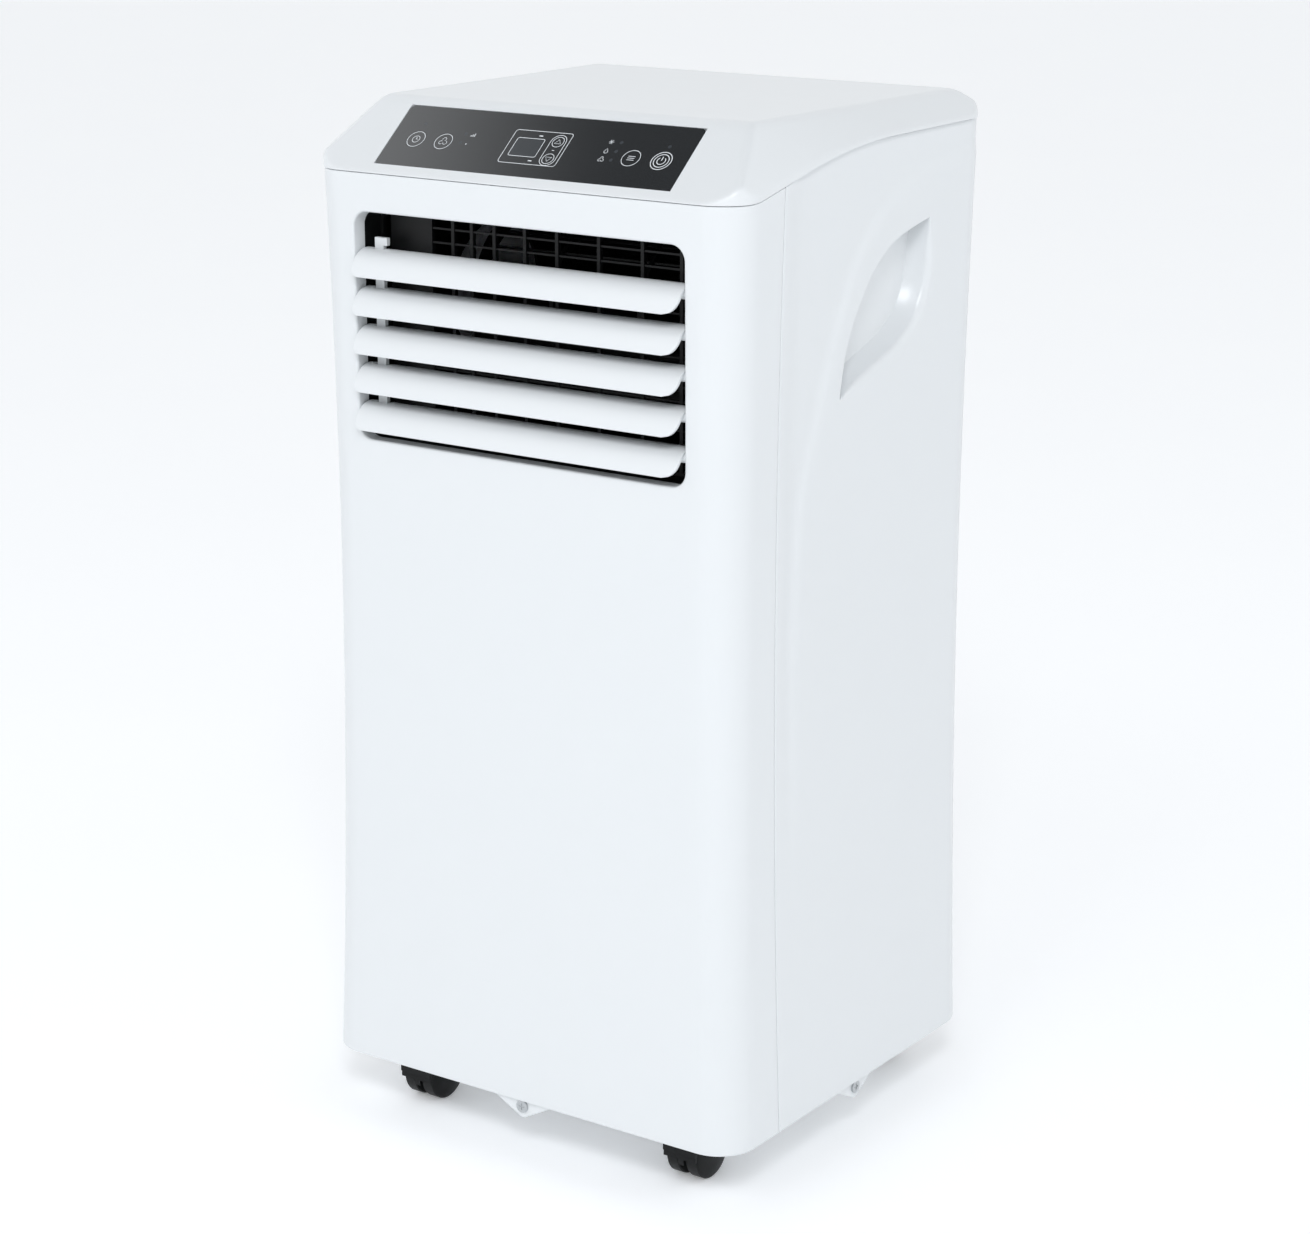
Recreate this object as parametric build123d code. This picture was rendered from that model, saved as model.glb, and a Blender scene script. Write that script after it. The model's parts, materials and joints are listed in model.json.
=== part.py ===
from build123d import *
from math import atan2, cos, degrees, pi, radians, sin, sqrt
import os

# Portable air conditioner on casters: a waisted white housing with a sloping top cover, a control strip,
# a five-blade air outlet, hand grips in both sides, rear filters, an exhaust collar and the machinery inside.
# Millimetres. The origin is on the floor under the middle, +Z is up, the front faces -Y,
# and +X is to the right of a person who faces the front.

# ---------------------------------------------------------------- housing form
base_width = 336.0          # across the sides, at the bottom edge
waist_width = base_width - 13.6     # across the sides, where they are closest
top_width = base_width - 6.6        # across the sides, at the lid's seam
base_front = 156.0          # centre plane to front face, at the bottom edge
waist_front = 151.6
top_front = 153.0
base_back = 151.0           # centre plane to back face, at the bottom edge
top_back = 156.0
casing_bottom = 40.0        # floor to the bottom edge of the casings
waist_height = 300.0
body_top = 647.0            # floor to the lid's seam, at the front
total_height = 691.0
front_corner = 27.0         # radius of the two front upright corners
back_corner = 30.0
wall = 2.5                  # casing wall
lid_wall = 3.0
side_seam = 99.0            # centre plane to the seam between front panel and rear casing
seam_gap = 0.5

# ---------------------------------------------------------------- lid
seam_rise_start = 131.0     # in front of the middle: the side seam starts to climb here
seam_rise_end = 20.6        # in front of the middle: the climb ends here
seam_rise = 24.3
seam_back_rise = 1.8        # further climb from there to the back face
seam_bend_front = 83.0      # radii that ease the seam into and out of its climb
seam_bend_back = 500.0
front_slope_angle = 39.8    # front slope from horizontal, degrees
top_half_front = top_width / 2 - 22.3   # half width of the flat top at its front edge
top_half_back = top_width / 2 - 18.7    # the same at its back edge
top_flat_front = 101.4      # centre plane to the flat top's front edge
top_flat_back = 139.0
back_slope_drop = 16.0      # height of the slope behind the flat top
slope_edge_front = 4.5      # side slope's lower edge above the seam, at the front
slope_edge_back = 1.5

# ---------------------------------------------------------------- control strip
strip_width = 227.6
strip_height = 51.7
strip_corner = 4.0
strip_thick = 2.0
strip_recess = 0.3          # the strip lies this far below the slope
strip_rise = 33.5           # slope's lower edge to the strip's centre line, along the slope
strip_gap = 0.2
key_thick = 1.2
key_travel = 0.5
key_gap = 0.2               # round each key
key_stem_radius = 2.2
key_stem_length = 4.0
switch_height = 2.2
board_thick = 1.6
board_margin = 6.0
large_key = 6.8             # key radii
small_key = 4.5
power_key = 7.6
key_row = -2.6              # along the slope from the strip's centre line
# name: (across, up the slope, radius)
keys = {
    "timer": (-93.7, key_row, large_key),
    "speed": (-71.7, key_row, large_key),
    "up": (13.9, 5.1, small_key),
    "down": (13.9, -9.0, small_key),
    "mode": (72.8, key_row, large_key),
    "power": (95.1, key_row, power_key),
}
light_radius = 1.3
lights = [(-93.7, 10.9), (-58.3, 5.3), (-58.3, -2.3), (59.5, 9.2), (59.5, 1.8), (59.5, -5.6), (95.1, 9.2)]
window_width = 20.2
window_height = 14.4
window_corner = 1.0
window_place = (-6.9, -1.3)

# ---------------------------------------------------------------- air outlet
vent_half = 127.6
vent_bottom = 474.0
vent_top = 622.0
vent_corner = 10.0
vent_lip_back = 141.5       # centre plane to the back of the panel's inward lip
vent_lip = 2.2
vent_frame_back = 112.0
guard_front = 126.0
guard_thick = 3.0
guard_edge = 2.4
guard_bar = 1.2
guard_pitch = 9.5
guard_rib = 2.4
guard_plate = -vent_half + 8.6      # left edge of the solid part beside the first rib
guard_rib_shares = [-0.674, -0.533, -0.415, -0.274, -0.086, 0.11, 0.361, 0.619, 0.846]
guard_ribs = [share * vent_half for share in guard_rib_shares]

blade_count = 5
blade_pitch = 25.0
blade_gap = 1.6             # blade's end to the side of the outlet
blade_half = vent_half - blade_gap
blade_thick = 2.0
blade_corner = 11.0         # rounding of the right lower corner
blade_left_corner = 4.0
blade_tip = (-11.5, -11.5)  # outer curve seen from the side, from the pivot: (back, up)
blade_crown = (-5.2, 2.2)
blade_rear = (9.5, 4.8)
pivot_front = 146.5         # centre plane to the blade pivots
top_pivot = 592.2
pin_radius = 1.5
pin_gap = 0.08
boss_radius = 3.2
boss_reach = vent_half - 0.3    # centre plane to the end of the boss round each pivot pin
link_left = -vent_half + 6.6
link_right = link_left + 10.0
link_thick = 3.0
link_offset = 8.5           # behind the pivots
link_above = 12.0           # above the top pivot
link_below = 4.0
link_pin = 0.9
notch_margin = 1.5
notch_back = 2.0            # the blades are cut away behind this, beside the link
fin_thick = 1.6

# ---------------------------------------------------------------- hand grips and back
grip_tip = (76.4, 614.6)    # outline on the side wall: (along Y, up)
grip_arch = (-1.5, 576.5)
grip_toe = (-28.0, 512.0)
grip_heel = (72.0, 548.0)
grip_round = 30.0
grip_depth = 16.0

filter_width = 240.0
upper_filter_height = 150.0
upper_filter_middle = 532.0
lower_filter_height = 150.0
lower_filter_middle = 178.0
filter_thick = 9.0
filter_face = 3.0
filter_edge = 7.0
filter_corner = 6.0
filter_gap = 0.5
mesh_thick = 0.8
mesh_depth = 7.0
slot_height = 5.0
slot_pitch = 9.0
slot_columns = 3
slot_rib = 6.0
seat_wall = 3.0
seat_ledge = 6.0

exhaust_height = 352.0
exhaust_bore = 65.0
collar_wall = 5.0
collar_back = 158.0
collar_front = 139.0
collar_flange = 80.0
collar_gap = 0.5

drain_place = (-112.0, 60.0)
drain_bore = 5.0
drain_wall = 2.6
drain_cap_radius = 11.0
drain_cap_thick = 5.0
gland_place = (122.0, 87.5)
gland_radius = 7.0
gland_bore = 3.6

# ---------------------------------------------------------------- base and casters
pan_bottom = 42.0
pan_floor = 3.0
pan_rim = 75.0
pan_gap = 0.5
lug_half = 25.0             # half width of a lug where the casing's edge crosses it
lug_point = 27.5            # floor to the lug's lowest point
lug_thick = 3.0
lug_screw_height = 35.3
caster_x = 110.5
caster_front = -119.0       # stems, along Y
caster_rear = 112.0
caster_trail = 10.0
wheel_radius = 18.5
wheel_inner = 2.8           # caster's middle plane to the wheel's inner side
wheel_shoulder = 12.4
wheel_outer = 14.8
hood_gap = 0.6
hood_wall = 1.8
hood_half = 12.6
web_half = 2.2
stem_radius = 5.5
stem_gap = 0.06
stem_top = 66.0
boss_wall = 4.5
axle_radius = 2.0
axle_gap = 0.05

# ---------------------------------------------------------------- machinery
deck_bottom = 446.0
deck_thick = 3.0
deck_rim = 10.0
drum_axis = (-10.0, 552.0)  # (along Y, up)
drum_radius = 62.0
drum_left = -vent_half + 31.6
drum_right = vent_half - 19.6
drum_blades = 30
drum_blade_depth = 10.0
drum_blade_thick = 1.2
drum_ring_thick = 3.0
drum_rings = [drum_left + share * (drum_right - drum_left) for share in (0.0, 0.31, 0.65)]
scroll_radius = 76.0
scroll_wall = 2.5
scroll_half = vent_half - 2.6
inlet_radius = 48.0
fan_shaft = 4.0
fan_shaft_gap = 0.06
cool_motor_radius = 32.0
cool_motor_length = 18.0
hot_drum_radius = 58.0
hot_drum_front = 72.0
hot_drum_back = 118.0
hot_blades = 24
hot_motor_radius = 34.0
hot_motor_front = 22.0
hot_motor_back = 62.0
coil_half = 115.0
coil_thick = 24.0
coil_row = 25.0             # between rows of tube
coil_end = 2.0              # end plates
coil_stub = 10.0            # tube ends outside the end plates
tube_radius = 4.0
compressor_place = (-62.0, -45.0)
compressor_radius = 54.0
compressor_bottom = 62.0
compressor_top = 245.0
bottle_out = 75.0           # compressor's middle to the accumulator's
bottle_radius = 17.0
bottle_lift = 40.0          # accumulator's bottom above the compressor's
bottle_height = 110.0
condenser_front = 100.0
condenser_low = 84.0
condenser_high = 268.0
evaporator_front = 100.0
evaporator_high = 628.0
pipe_up = (104.0, 84.0)     # where the suction pipe passes the deck
screw_head = 4.4
screw_head_height = 1.4
screw_shank = 1.8
screw_length = 8.0

reach = 260.0               # further than any side of the object
tall = 900.0

os.makedirs("parts", exist_ok=True)


def save(name, shape):
    """Writes one sub-part to its own file."""
    export_step(shape, f"parts/{name}.step")


def circle_side(low, middle, high):
    """Distance from the centre plane at a height, on the circle through three (distance, height) points."""
    (x1, z1), (x2, z2), (x3, z3) = low, middle, high
    d = 2 * (x1 * (z2 - z3) + x2 * (z3 - z1) + x3 * (z1 - z2))
    q1, q2, q3 = x1 ** 2 + z1 ** 2, x2 ** 2 + z2 ** 2, x3 ** 2 + z3 ** 2
    cx = (q1 * (z2 - z3) + q2 * (z3 - z1) + q3 * (z1 - z2)) / d
    cz = (q1 * (x3 - x2) + q2 * (x1 - x3) + q3 * (x2 - x1)) / d
    r = sqrt((x1 - cx) ** 2 + (z1 - cz) ** 2)
    return lambda z: cx - sqrt(r * r - (z - cz) ** 2)


half_width = circle_side(
    (base_width / 2, casing_bottom), (waist_width / 2, waist_height), (top_width / 2, body_top)
)
front_face = circle_side(
    (base_front, casing_bottom), (waist_front, waist_height), (top_front, body_top)
)


def back_face(z):
    """Centre plane to the back face at height z."""
    return base_back + (top_back - base_back) * (z - casing_bottom) / (body_top - casing_bottom)


back_lean = degrees(atan2(top_back - base_back, body_top - casing_bottom))


def curved_edge(side, sign, inset, low, high):
    """Upright edge of a housing outline, from low to high."""
    middle = (low + high) / 2
    points = [(sign * (side(z) - inset), z) for z in (low, middle, high)]
    return ThreePointArc(*points)


def closed_face(plane, *lines):
    """Face on a plane, inside lines that join end to end."""
    edges = [edge for line in lines for edge in line.edges()]
    return plane * make_face(edges)


def housing_form(inset, low, high):
    """Solid of the waisted housing between two heights, its upright faces moved in by inset."""
    right = curved_edge(half_width, 1, inset, low, high)
    left = curved_edge(half_width, -1, inset, low, high)
    across = closed_face(Plane.XZ, right, Line(right @ 1, left @ 1), left, Line(left @ 0, right @ 0))
    front = curved_edge(front_face, -1, inset, low, high)
    back = Line((back_face(low) - inset, low), (back_face(high) - inset, high))
    along = closed_face(Plane.YZ, front, Line(front @ 1, back @ 1), back, Line(back @ 0, front @ 0))
    solid = extrude(across, amount=reach, both=True) & extrude(along, amount=reach, both=True)
    uprights = solid.edges().filter_by(lambda e: e.bounding_box().size.Z > 0.8 * (high - low))
    ahead = uprights.filter_by(lambda e: e.center().Y < 0)
    behind = uprights.filter_by(lambda e: e.center().Y > 0)
    solid = fillet(ahead, front_corner - inset)
    behind = solid.edges().filter_by(
        lambda e: e.bounding_box().size.Z > 0.8 * (high - low)
        and e.center().Y > back_face(low) - inset - 6
        and abs(e.center().X) > half_width(waist_height) - inset - 8
    )
    return fillet(behind, back_corner - inset)


def seam_height(y):
    """Height of the lid's seam at a place along Y, with its bends left out."""
    climb_end = body_top + seam_rise
    if y < -seam_rise_start:
        return body_top
    if y < -seam_rise_end:
        share = (y + seam_rise_start) / (seam_rise_start - seam_rise_end)
        return body_top + seam_rise * share
    return climb_end + seam_back_rise * (y + seam_rise_end) / (seam_rise_end + top_back)


def seam_region(raise_by, above):
    """Everything above or below the lid's seam, the seam raised by raise_by."""
    stations = [-reach, -seam_rise_start, -seam_rise_end, reach]
    corners = [(y, seam_height(y) + raise_by) for y in stations]
    seam = FilletPolyline(*corners, radius=[seam_bend_front, seam_bend_back])
    limit = tall if above else 0
    ends = Polyline(corners[-1], (reach, limit), (-reach, limit), corners[0])
    return extrude(closed_face(Plane.YZ, seam, ends), amount=reach, both=True)


def slope_wedge(start, end, inset):
    """Region outside a sloping face that runs across the lid, from its outer edge up to its top edge."""
    (y0, z0), (y1, z1) = start, end
    length = sqrt((y1 - y0) ** 2 + (z1 - z0) ** 2)
    drop = inset * length / abs(y1 - y0)
    stretch = 0.6
    low = (y0 - (y1 - y0) * stretch, z0 - (z1 - z0) * stretch - drop)
    high = (y1 + (y1 - y0) * stretch, z1 + (z1 - z0) * stretch - drop)
    outline = Polyline(low, high, (low[0], high[1] + 1), close=True)
    return extrude(closed_face(Plane.YZ, outline), amount=reach, both=True)


def side_wedge(inset):
    """Region outside the right side slope, whose lower edge follows the seam."""
    sections = []
    margin_step = (slope_edge_front - slope_edge_back) / (seam_rise_start - seam_rise_end)
    for y in (-reach, -seam_rise_start, -seam_rise_end, reach):
        inner = min(max(y, -seam_rise_start), -seam_rise_end)
        edge = seam_height(y) + slope_edge_front - margin_step * (inner + seam_rise_start)
        foot = half_width(edge)
        share = (y + top_flat_front) / (top_flat_front + top_flat_back)
        head = top_half_front + (top_half_back - top_half_front) * min(max(share, -1), 2)
        run, rise = foot - head, total_height - edge
        shift = inset * sqrt(run ** 2 + rise ** 2) / rise
        stretch = 0.5
        low = (foot + run * stretch - shift, edge - rise * stretch)
        high = (head - run * stretch - shift, total_height + rise * stretch)
        outline = Polyline(low, high, (low[0] + reach, high[1]), (low[0] + reach, low[1]), close=True)
        sections.append(Pos(0, y, 0) * closed_face(Plane.XZ, outline))
    return loft(sections, ruled=True)


def lid_form(inset):
    """Solid of the top cover down to a little under its seam, its faces moved in by inset."""
    solid = housing_form(inset, body_top - 12, total_height - inset)
    run = top_front - top_flat_front
    rise = run * sin(radians(front_slope_angle)) / cos(radians(front_slope_angle))
    front = slope_wedge((-top_front, total_height - rise), (-top_flat_front, total_height), inset)
    back = slope_wedge(
        (top_back, total_height - back_slope_drop), (top_flat_back, total_height), inset
    )
    right = side_wedge(inset)
    return solid - front - back - right - mirror(right, about=Plane.YZ)


def strip_plane():
    """Plane of the front slope, at the middle of the control strip, its normal outwards."""
    slope = radians(front_slope_angle)
    run = top_front - top_flat_front
    bottom = total_height - run * sin(slope) / cos(slope)
    origin = (0, -top_front + strip_rise * cos(slope), bottom + strip_rise * sin(slope))
    return Plane(origin=origin, x_dir=(1, 0, 0), z_dir=(0, -sin(slope), cos(slope)))


def on_strip(sketch, top, bottom):
    """Solid from a sketch on the control strip, between two distances out of the slope."""
    return extrude(strip_plane() * Pos(0, 0, bottom) * sketch, amount=top - bottom)


def strip_outline(gap):
    """Rounded outline of the control strip, with a gap all round."""
    return RectangleRounded(strip_width + 2 * gap, strip_height + 2 * gap, strip_corner + gap)


strip_top = -strip_recess
strip_floor = strip_top - strip_thick
key_bottom = strip_top - key_thick
switch_top = key_bottom - key_stem_length - key_travel
board_top = switch_top - switch_height


def back_plane(x, z):
    """Plane on the back face, its normal outwards and its second axis up."""
    lean = radians(back_lean)
    return Plane(origin=(x, back_face(z), z), x_dir=(-1, 0, 0), z_dir=(0, cos(lean), -sin(lean)))


def on_back(x, z, sketch, outer, inner):
    """Solid from a sketch on the back face, between two distances out of it."""
    return extrude(back_plane(x, z) * Pos(0, 0, inner) * sketch, amount=outer - inner)


def upright_block(x0, x1, y0, y1, z0, z1):
    """Block between two opposite corners."""
    size = (x1 - x0, y1 - y0, z1 - z0)
    return Pos((x0 + x1) / 2, (y0 + y1) / 2, (z0 + z1) / 2) * Box(*size)


def rod(start, direction, radius, length):
    """Round rod from a point along a direction."""
    return Plane(origin=start, z_dir=direction) * Pos(0, 0, length / 2) * Cylinder(radius, length)


def vent_outline(grow):
    """Outline of the air outlet, grown by an amount."""
    width = 2 * (vent_half + grow)
    height = vent_top - vent_bottom + 2 * grow
    return RectangleRounded(width, height, vent_corner + grow)


def vent_block(grow, front, back):
    """Solid of the outlet's outline between two distances in front of the middle."""
    middle = (vent_top + vent_bottom) / 2
    return extrude(Plane.XZ * Pos(0, middle, back) * vent_outline(grow), amount=front - back)


# ---------------------------------------------------------------- screws
def screw(plane):
    """Cross-head screw whose head stands on a plane."""
    head = Pos(0, 0, screw_head_height / 2) * Cylinder(screw_head, screw_head_height)
    shank = Pos(0, 0, -screw_length / 2) * Cylinder(screw_shank, screw_length)
    slot = Box(1.0, 4.4, 1.0) + Box(4.4, 1.0, 1.0)
    return plane * (head + shank - Pos(0, 0, screw_head_height) * slot)


def screw_hole(plane):
    """Clearance for a screw's shank."""
    return plane * Cylinder(screw_shank, 4 * screw_length)


lug_inset = wall + pan_gap
side_lug_face = half_width(casing_bottom) - lug_inset
front_lug_face = front_face(casing_bottom) - lug_inset
back_lug_face = back_face(casing_bottom) - lug_inset
lug_planes = [
    Plane(origin=(side_lug_face, 0, lug_screw_height), z_dir=(1, 0, 0)),
    Plane(origin=(-side_lug_face, 0, lug_screw_height), z_dir=(-1, 0, 0)),
    Plane(origin=(0, -front_lug_face, lug_screw_height), z_dir=(0, -1, 0)),
    Plane(origin=(0, back_lug_face, lug_screw_height), z_dir=(0, 1, 0)),
]
back_screw_places = [(x, z) for x in (-128, 128) for z in (276, 428, 636)]
back_screw_planes = [back_plane(x, z) for x, z in back_screw_places]


# ---------------------------------------------------------------- casings
def casing_shell():
    """Wall of the housing from its bottom edge up past the lid's seam."""
    low, high = casing_bottom, total_height - 4
    return housing_form(0, low, high) - housing_form(wall, low - 1, high + 1)


def pin_holes():
    """Bearing holes for the louvre blades' pins."""
    holes = Part()
    for index in range(blade_count):
        z = top_pivot - index * blade_pitch
        start = (-vent_half - 10, -pivot_front, z)
        holes += rod(start, (1, 0, 0), pin_radius + pin_gap, 2 * vent_half + 20)
    return holes


def front_panel(shell, below):
    """Front casing with the air outlet and its inward lip."""
    ahead = upright_block(-reach, reach, -reach, -side_seam - seam_gap / 2, 0, tall)
    panel = shell & ahead & below
    lip = vent_block(vent_lip, reach - 50, vent_lip_back) & housing_form(0.2, vent_bottom - 20, vent_top + 20)
    opening = vent_block(0, reach, vent_lip_back - 30)
    return panel + lip - opening - pin_holes()


def grip_outline():
    """Outline of a hand grip on the side wall."""
    arch = ThreePointArc(grip_tip, grip_arch, grip_toe)
    heel = FilletPolyline(grip_toe, grip_heel, grip_tip, radius=grip_round)
    return closed_face(Plane.YZ, arch, heel)


def grip_block(grow, depth):
    """Solid of the right hand grip's outline, from outside the wall to a depth inside it."""
    face = grip_outline()
    if grow:
        face = offset(face, amount=grow)
    floor = half_width(grip_heel[1]) - depth
    return extrude(Pos(floor, 0, 0) * face, amount=reach - floor)


def filter_seat(middle, height):
    """Ring behind a filter opening, with the ledge that the filter frame rests on."""
    depth = filter_thick + filter_gap
    outer = RectangleRounded(
        filter_width + 2 * seat_wall, height + 2 * seat_wall, filter_corner + seat_wall
    )
    ledge = RectangleRounded(
        filter_width - 2 * seat_ledge, height - 2 * seat_ledge, filter_corner
    )
    ring = on_back(0, middle, outer, -wall / 2, -depth - seat_wall)
    return ring - on_back(0, middle, ledge, 1, -depth - 2 * seat_wall)


def filter_opening(middle, height):
    """Hole that a filter frame slides into."""
    hole = RectangleRounded(
        filter_width + 2 * filter_gap, height + 2 * filter_gap, filter_corner + filter_gap
    )
    return on_back(0, middle, hole, 5, -filter_thick - filter_gap)


def rear_casing(shell, below):
    """Rear casing with the hand grips, the filter seats and the holes in the back."""
    behind = upright_block(-reach, reach, -side_seam + seam_gap / 2, reach, 0, tall)
    casing = shell & behind & below
    within = housing_form(wall / 2, casing_bottom, body_top)
    for side in (1, -1):
        cup = grip_block(wall, grip_depth + wall) & within
        hollow = grip_block(0, grip_depth)
        if side < 0:
            cup, hollow = mirror(cup, about=Plane.YZ), mirror(hollow, about=Plane.YZ)
        casing = casing + cup - hollow
    for middle, height in (
        (upper_filter_middle, upper_filter_height),
        (lower_filter_middle, lower_filter_height),
    ):
        casing += filter_seat(middle, height)
        casing -= filter_opening(middle, height)
    port = exhaust_bore + collar_wall + collar_gap
    casing -= on_back(0, exhaust_height, Circle(port), 5, -10)
    drain_x, drain_z = drain_place
    casing -= on_back(drain_x, drain_z, Circle(drain_bore + drain_wall + collar_gap), 5, -10)
    gland_x, gland_z = gland_place
    casing -= on_back(gland_x, gland_z, Circle(gland_radius), 5, -10)
    for plane in back_screw_planes:
        casing -= screw_hole(plane)
    return casing


def top_cover(above):
    """Sloping lid with the pocket for the control strip."""
    cover = (lid_form(0) - lid_form(lid_wall)) & above
    cover -= on_strip(strip_outline(strip_gap), 10, strip_floor)
    for across, up, radius in keys.values():
        cover -= on_strip(Pos(across, up) * Circle(key_stem_radius + key_gap), 5, -10)
    for across, up in lights:
        cover -= on_strip(Pos(across, up) * Circle(light_radius), 5, -10)
    return cover


# ---------------------------------------------------------------- control strip
def control_fascia():
    """Flat strip with holes for its keys, lights and display window."""
    strip = on_strip(strip_outline(0), strip_top, strip_floor)
    for across, up, radius in keys.values():
        strip -= on_strip(Pos(across, up) * Circle(radius + key_gap), 5, -10)
    for across, up in lights:
        strip -= on_strip(Pos(across, up) * Circle(light_radius), 5, -10)
    window = RectangleRounded(window_width, window_height, window_corner)
    return strip - on_strip(Pos(*window_place) * window, 5, -10)


def key(across, up, radius):
    """Round key flush with the strip, on a stem that reaches its switch."""
    cap = on_strip(Pos(across, up) * Circle(radius), strip_top, key_bottom)
    stem = on_strip(
        Pos(across, up) * Circle(key_stem_radius), key_bottom, key_bottom - key_stem_length
    )
    return cap + stem


def display_window():
    """Clear window let into the strip."""
    window = RectangleRounded(window_width, window_height, window_corner)
    return on_strip(Pos(*window_place) * window, strip_top, strip_floor)


def indicator_lights():
    """Light pipes from the board to the strip's face."""
    pipes = [
        on_strip(Pos(across, up) * Circle(light_radius), strip_top, board_top)
        for across, up in lights
    ]
    return Compound(children=pipes)


def control_board():
    """Circuit board with one switch under each key and the display's block."""
    outline = Rectangle(strip_width - 2 * board_margin, strip_height - 2 * board_margin)
    board = on_strip(outline, board_top, board_top - board_thick)
    for across, up, radius in keys.values():
        board += on_strip(Pos(across, up) * Rectangle(6, 6), switch_top, board_top)
    display = Pos(*window_place) * Rectangle(window_width + 6, window_height + 6)
    return board + on_strip(display, board_top + 3, board_top)


# ---------------------------------------------------------------- air outlet
def louvre_blade(index):
    """Curved blade with its pivot pins, its bosses and the fin that carries the link."""
    pivot_z = top_pivot - index * blade_pitch
    (x1, z1), (x2, z2), (x3, z3) = blade_tip, blade_crown, blade_rear
    d = 2 * (x1 * (z2 - z3) + x2 * (z3 - z1) + x3 * (z1 - z2))
    q1, q2, q3 = x1 ** 2 + z1 ** 2, x2 ** 2 + z2 ** 2, x3 ** 2 + z3 ** 2
    cy = (q1 * (z2 - z3) + q2 * (z3 - z1) + q3 * (z1 - z2)) / d
    cz = (q1 * (x3 - x2) + q2 * (x1 - x3) + q3 * (x2 - x1)) / d
    outer_radius = sqrt((x1 - cy) ** 2 + (z1 - cz) ** 2)
    inner_radius = outer_radius - blade_thick

    def inward(point):
        """Point on the inner curve behind a point on the outer one."""
        share = inner_radius / outer_radius
        return (cy + (point[0] - cy) * share, cz + (point[1] - cz) * share)

    outer = ThreePointArc(blade_tip, blade_crown, blade_rear)
    inner = ThreePointArc(inward(blade_rear), inward(blade_crown), inward(blade_tip))
    section = closed_face(
        Plane.YZ, outer, Line(blade_rear, inward(blade_rear)), inner, Line(inward(blade_tip), blade_tip)
    )
    blade = extrude(section, amount=blade_half, both=True)
    for side, radius in ((1, blade_corner), (-1, blade_left_corner)):
        edge, low = side * blade_half, blade_tip[1]
        corner = Polyline((edge - side * radius, low), (edge, low), (edge, low + radius))
        share = radius * (1 - cos(pi / 4))
        middle = (edge - side * share, low + share)
        rounding = ThreePointArc((edge, low + radius), middle, (edge - side * radius, low))
        blade -= extrude(closed_face(Plane.XZ, corner, rounding), amount=reach, both=True)
    blade -= upright_block(
        link_left - notch_margin, link_right + notch_margin, notch_back, 30, -5, 30
    )
    for side in (1, -1):
        boss_start = (side * (blade_half - 4), 0, 0)
        blade += rod(boss_start, (side, 0, 0), boss_radius, boss_reach - blade_half + 4)
        blade += rod(boss_start, (side, 0, 0), pin_radius, vent_half + vent_lip - blade_half + 3.5)
    fin_left = link_right + notch_margin
    fin_back = link_offset + 2
    fin_outline = Polyline((-6, 2), (5, 5.4), (fin_back, 2), (fin_back, -2.2), (-4, -2.2), close=True)
    fin = extrude(
        Pos(fin_left, 0, 0) * closed_face(Plane.YZ, fin_outline), amount=fin_thick
    )
    under = rod((fin_left, cy, cz), (1, 0, 0), outer_radius - 0.2, fin_thick)
    blade += fin & under
    blade += fin & upright_block(-reach, reach, 4, 30, -3, 2)
    pin_length = fin_left - link_left
    blade += rod((fin_left, link_offset, 0), (-1, 0, 0), link_pin, pin_length)
    return Pos(0, -pivot_front, pivot_z) * blade


def louvre_link():
    """Upright bar that joins the blades, with its hooked top."""
    bottom = top_pivot - (blade_count - 1) * blade_pitch - link_below
    y = -pivot_front + link_offset
    bar = upright_block(
        link_left, link_right - 3, y - link_thick / 2, y + link_thick / 2, bottom, top_pivot + link_above
    )
    bar += upright_block(
        link_left, link_right, y - link_thick / 2, y + link_thick / 2,
        top_pivot + link_above - 5, top_pivot + link_above,
    )
    for index in range(blade_count):
        z = top_pivot - index * blade_pitch
        bar += upright_block(link_left, link_right, y - link_thick / 2, y + link_thick / 2, z - 3, z + 3)
        bar -= rod((link_left - 1, y, z), (1, 0, 0), link_pin + pin_gap, 20)
    return bar


def vent_frame():
    """Black liner that carries the outlet back from the panel's lip."""
    outer = vent_block(vent_lip, vent_lip_back - 0.2, vent_frame_back)
    return outer - vent_block(0, reach, vent_frame_back - 30)


def outlet_guard():
    """Finger guard of thin bars across the outlet."""
    back = guard_front - guard_thick
    guard = vent_block(-0.2, guard_front, back) - vent_block(-0.2 - guard_edge, guard_front + 5, back - 5)
    low, high = vent_bottom + 1.5, vent_top - 1.5
    for x in guard_ribs:
        guard += upright_block(
            x - guard_rib / 2, x + guard_rib / 2, -guard_front, -back, low, high
        )
    first = guard_ribs[0]
    guard += upright_block(guard_plate, first, -guard_front + 0.6, -back, low, high)
    bar_low = low + guard_pitch
    guard += upright_block(
        -vent_half + 1, guard_plate + 1, -guard_front + 0.6, -back - 0.6, bar_low, bar_low + guard_pitch
    )
    rows = int((high - low) / guard_pitch)
    for row in range(1, rows + 1):
        z = low + row * (high - low) / (rows + 1)
        guard += upright_block(
            first, vent_half - 1, -guard_front + 0.6, -back - 0.6, z - guard_bar / 2, z + guard_bar / 2
        )
    return guard


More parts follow.
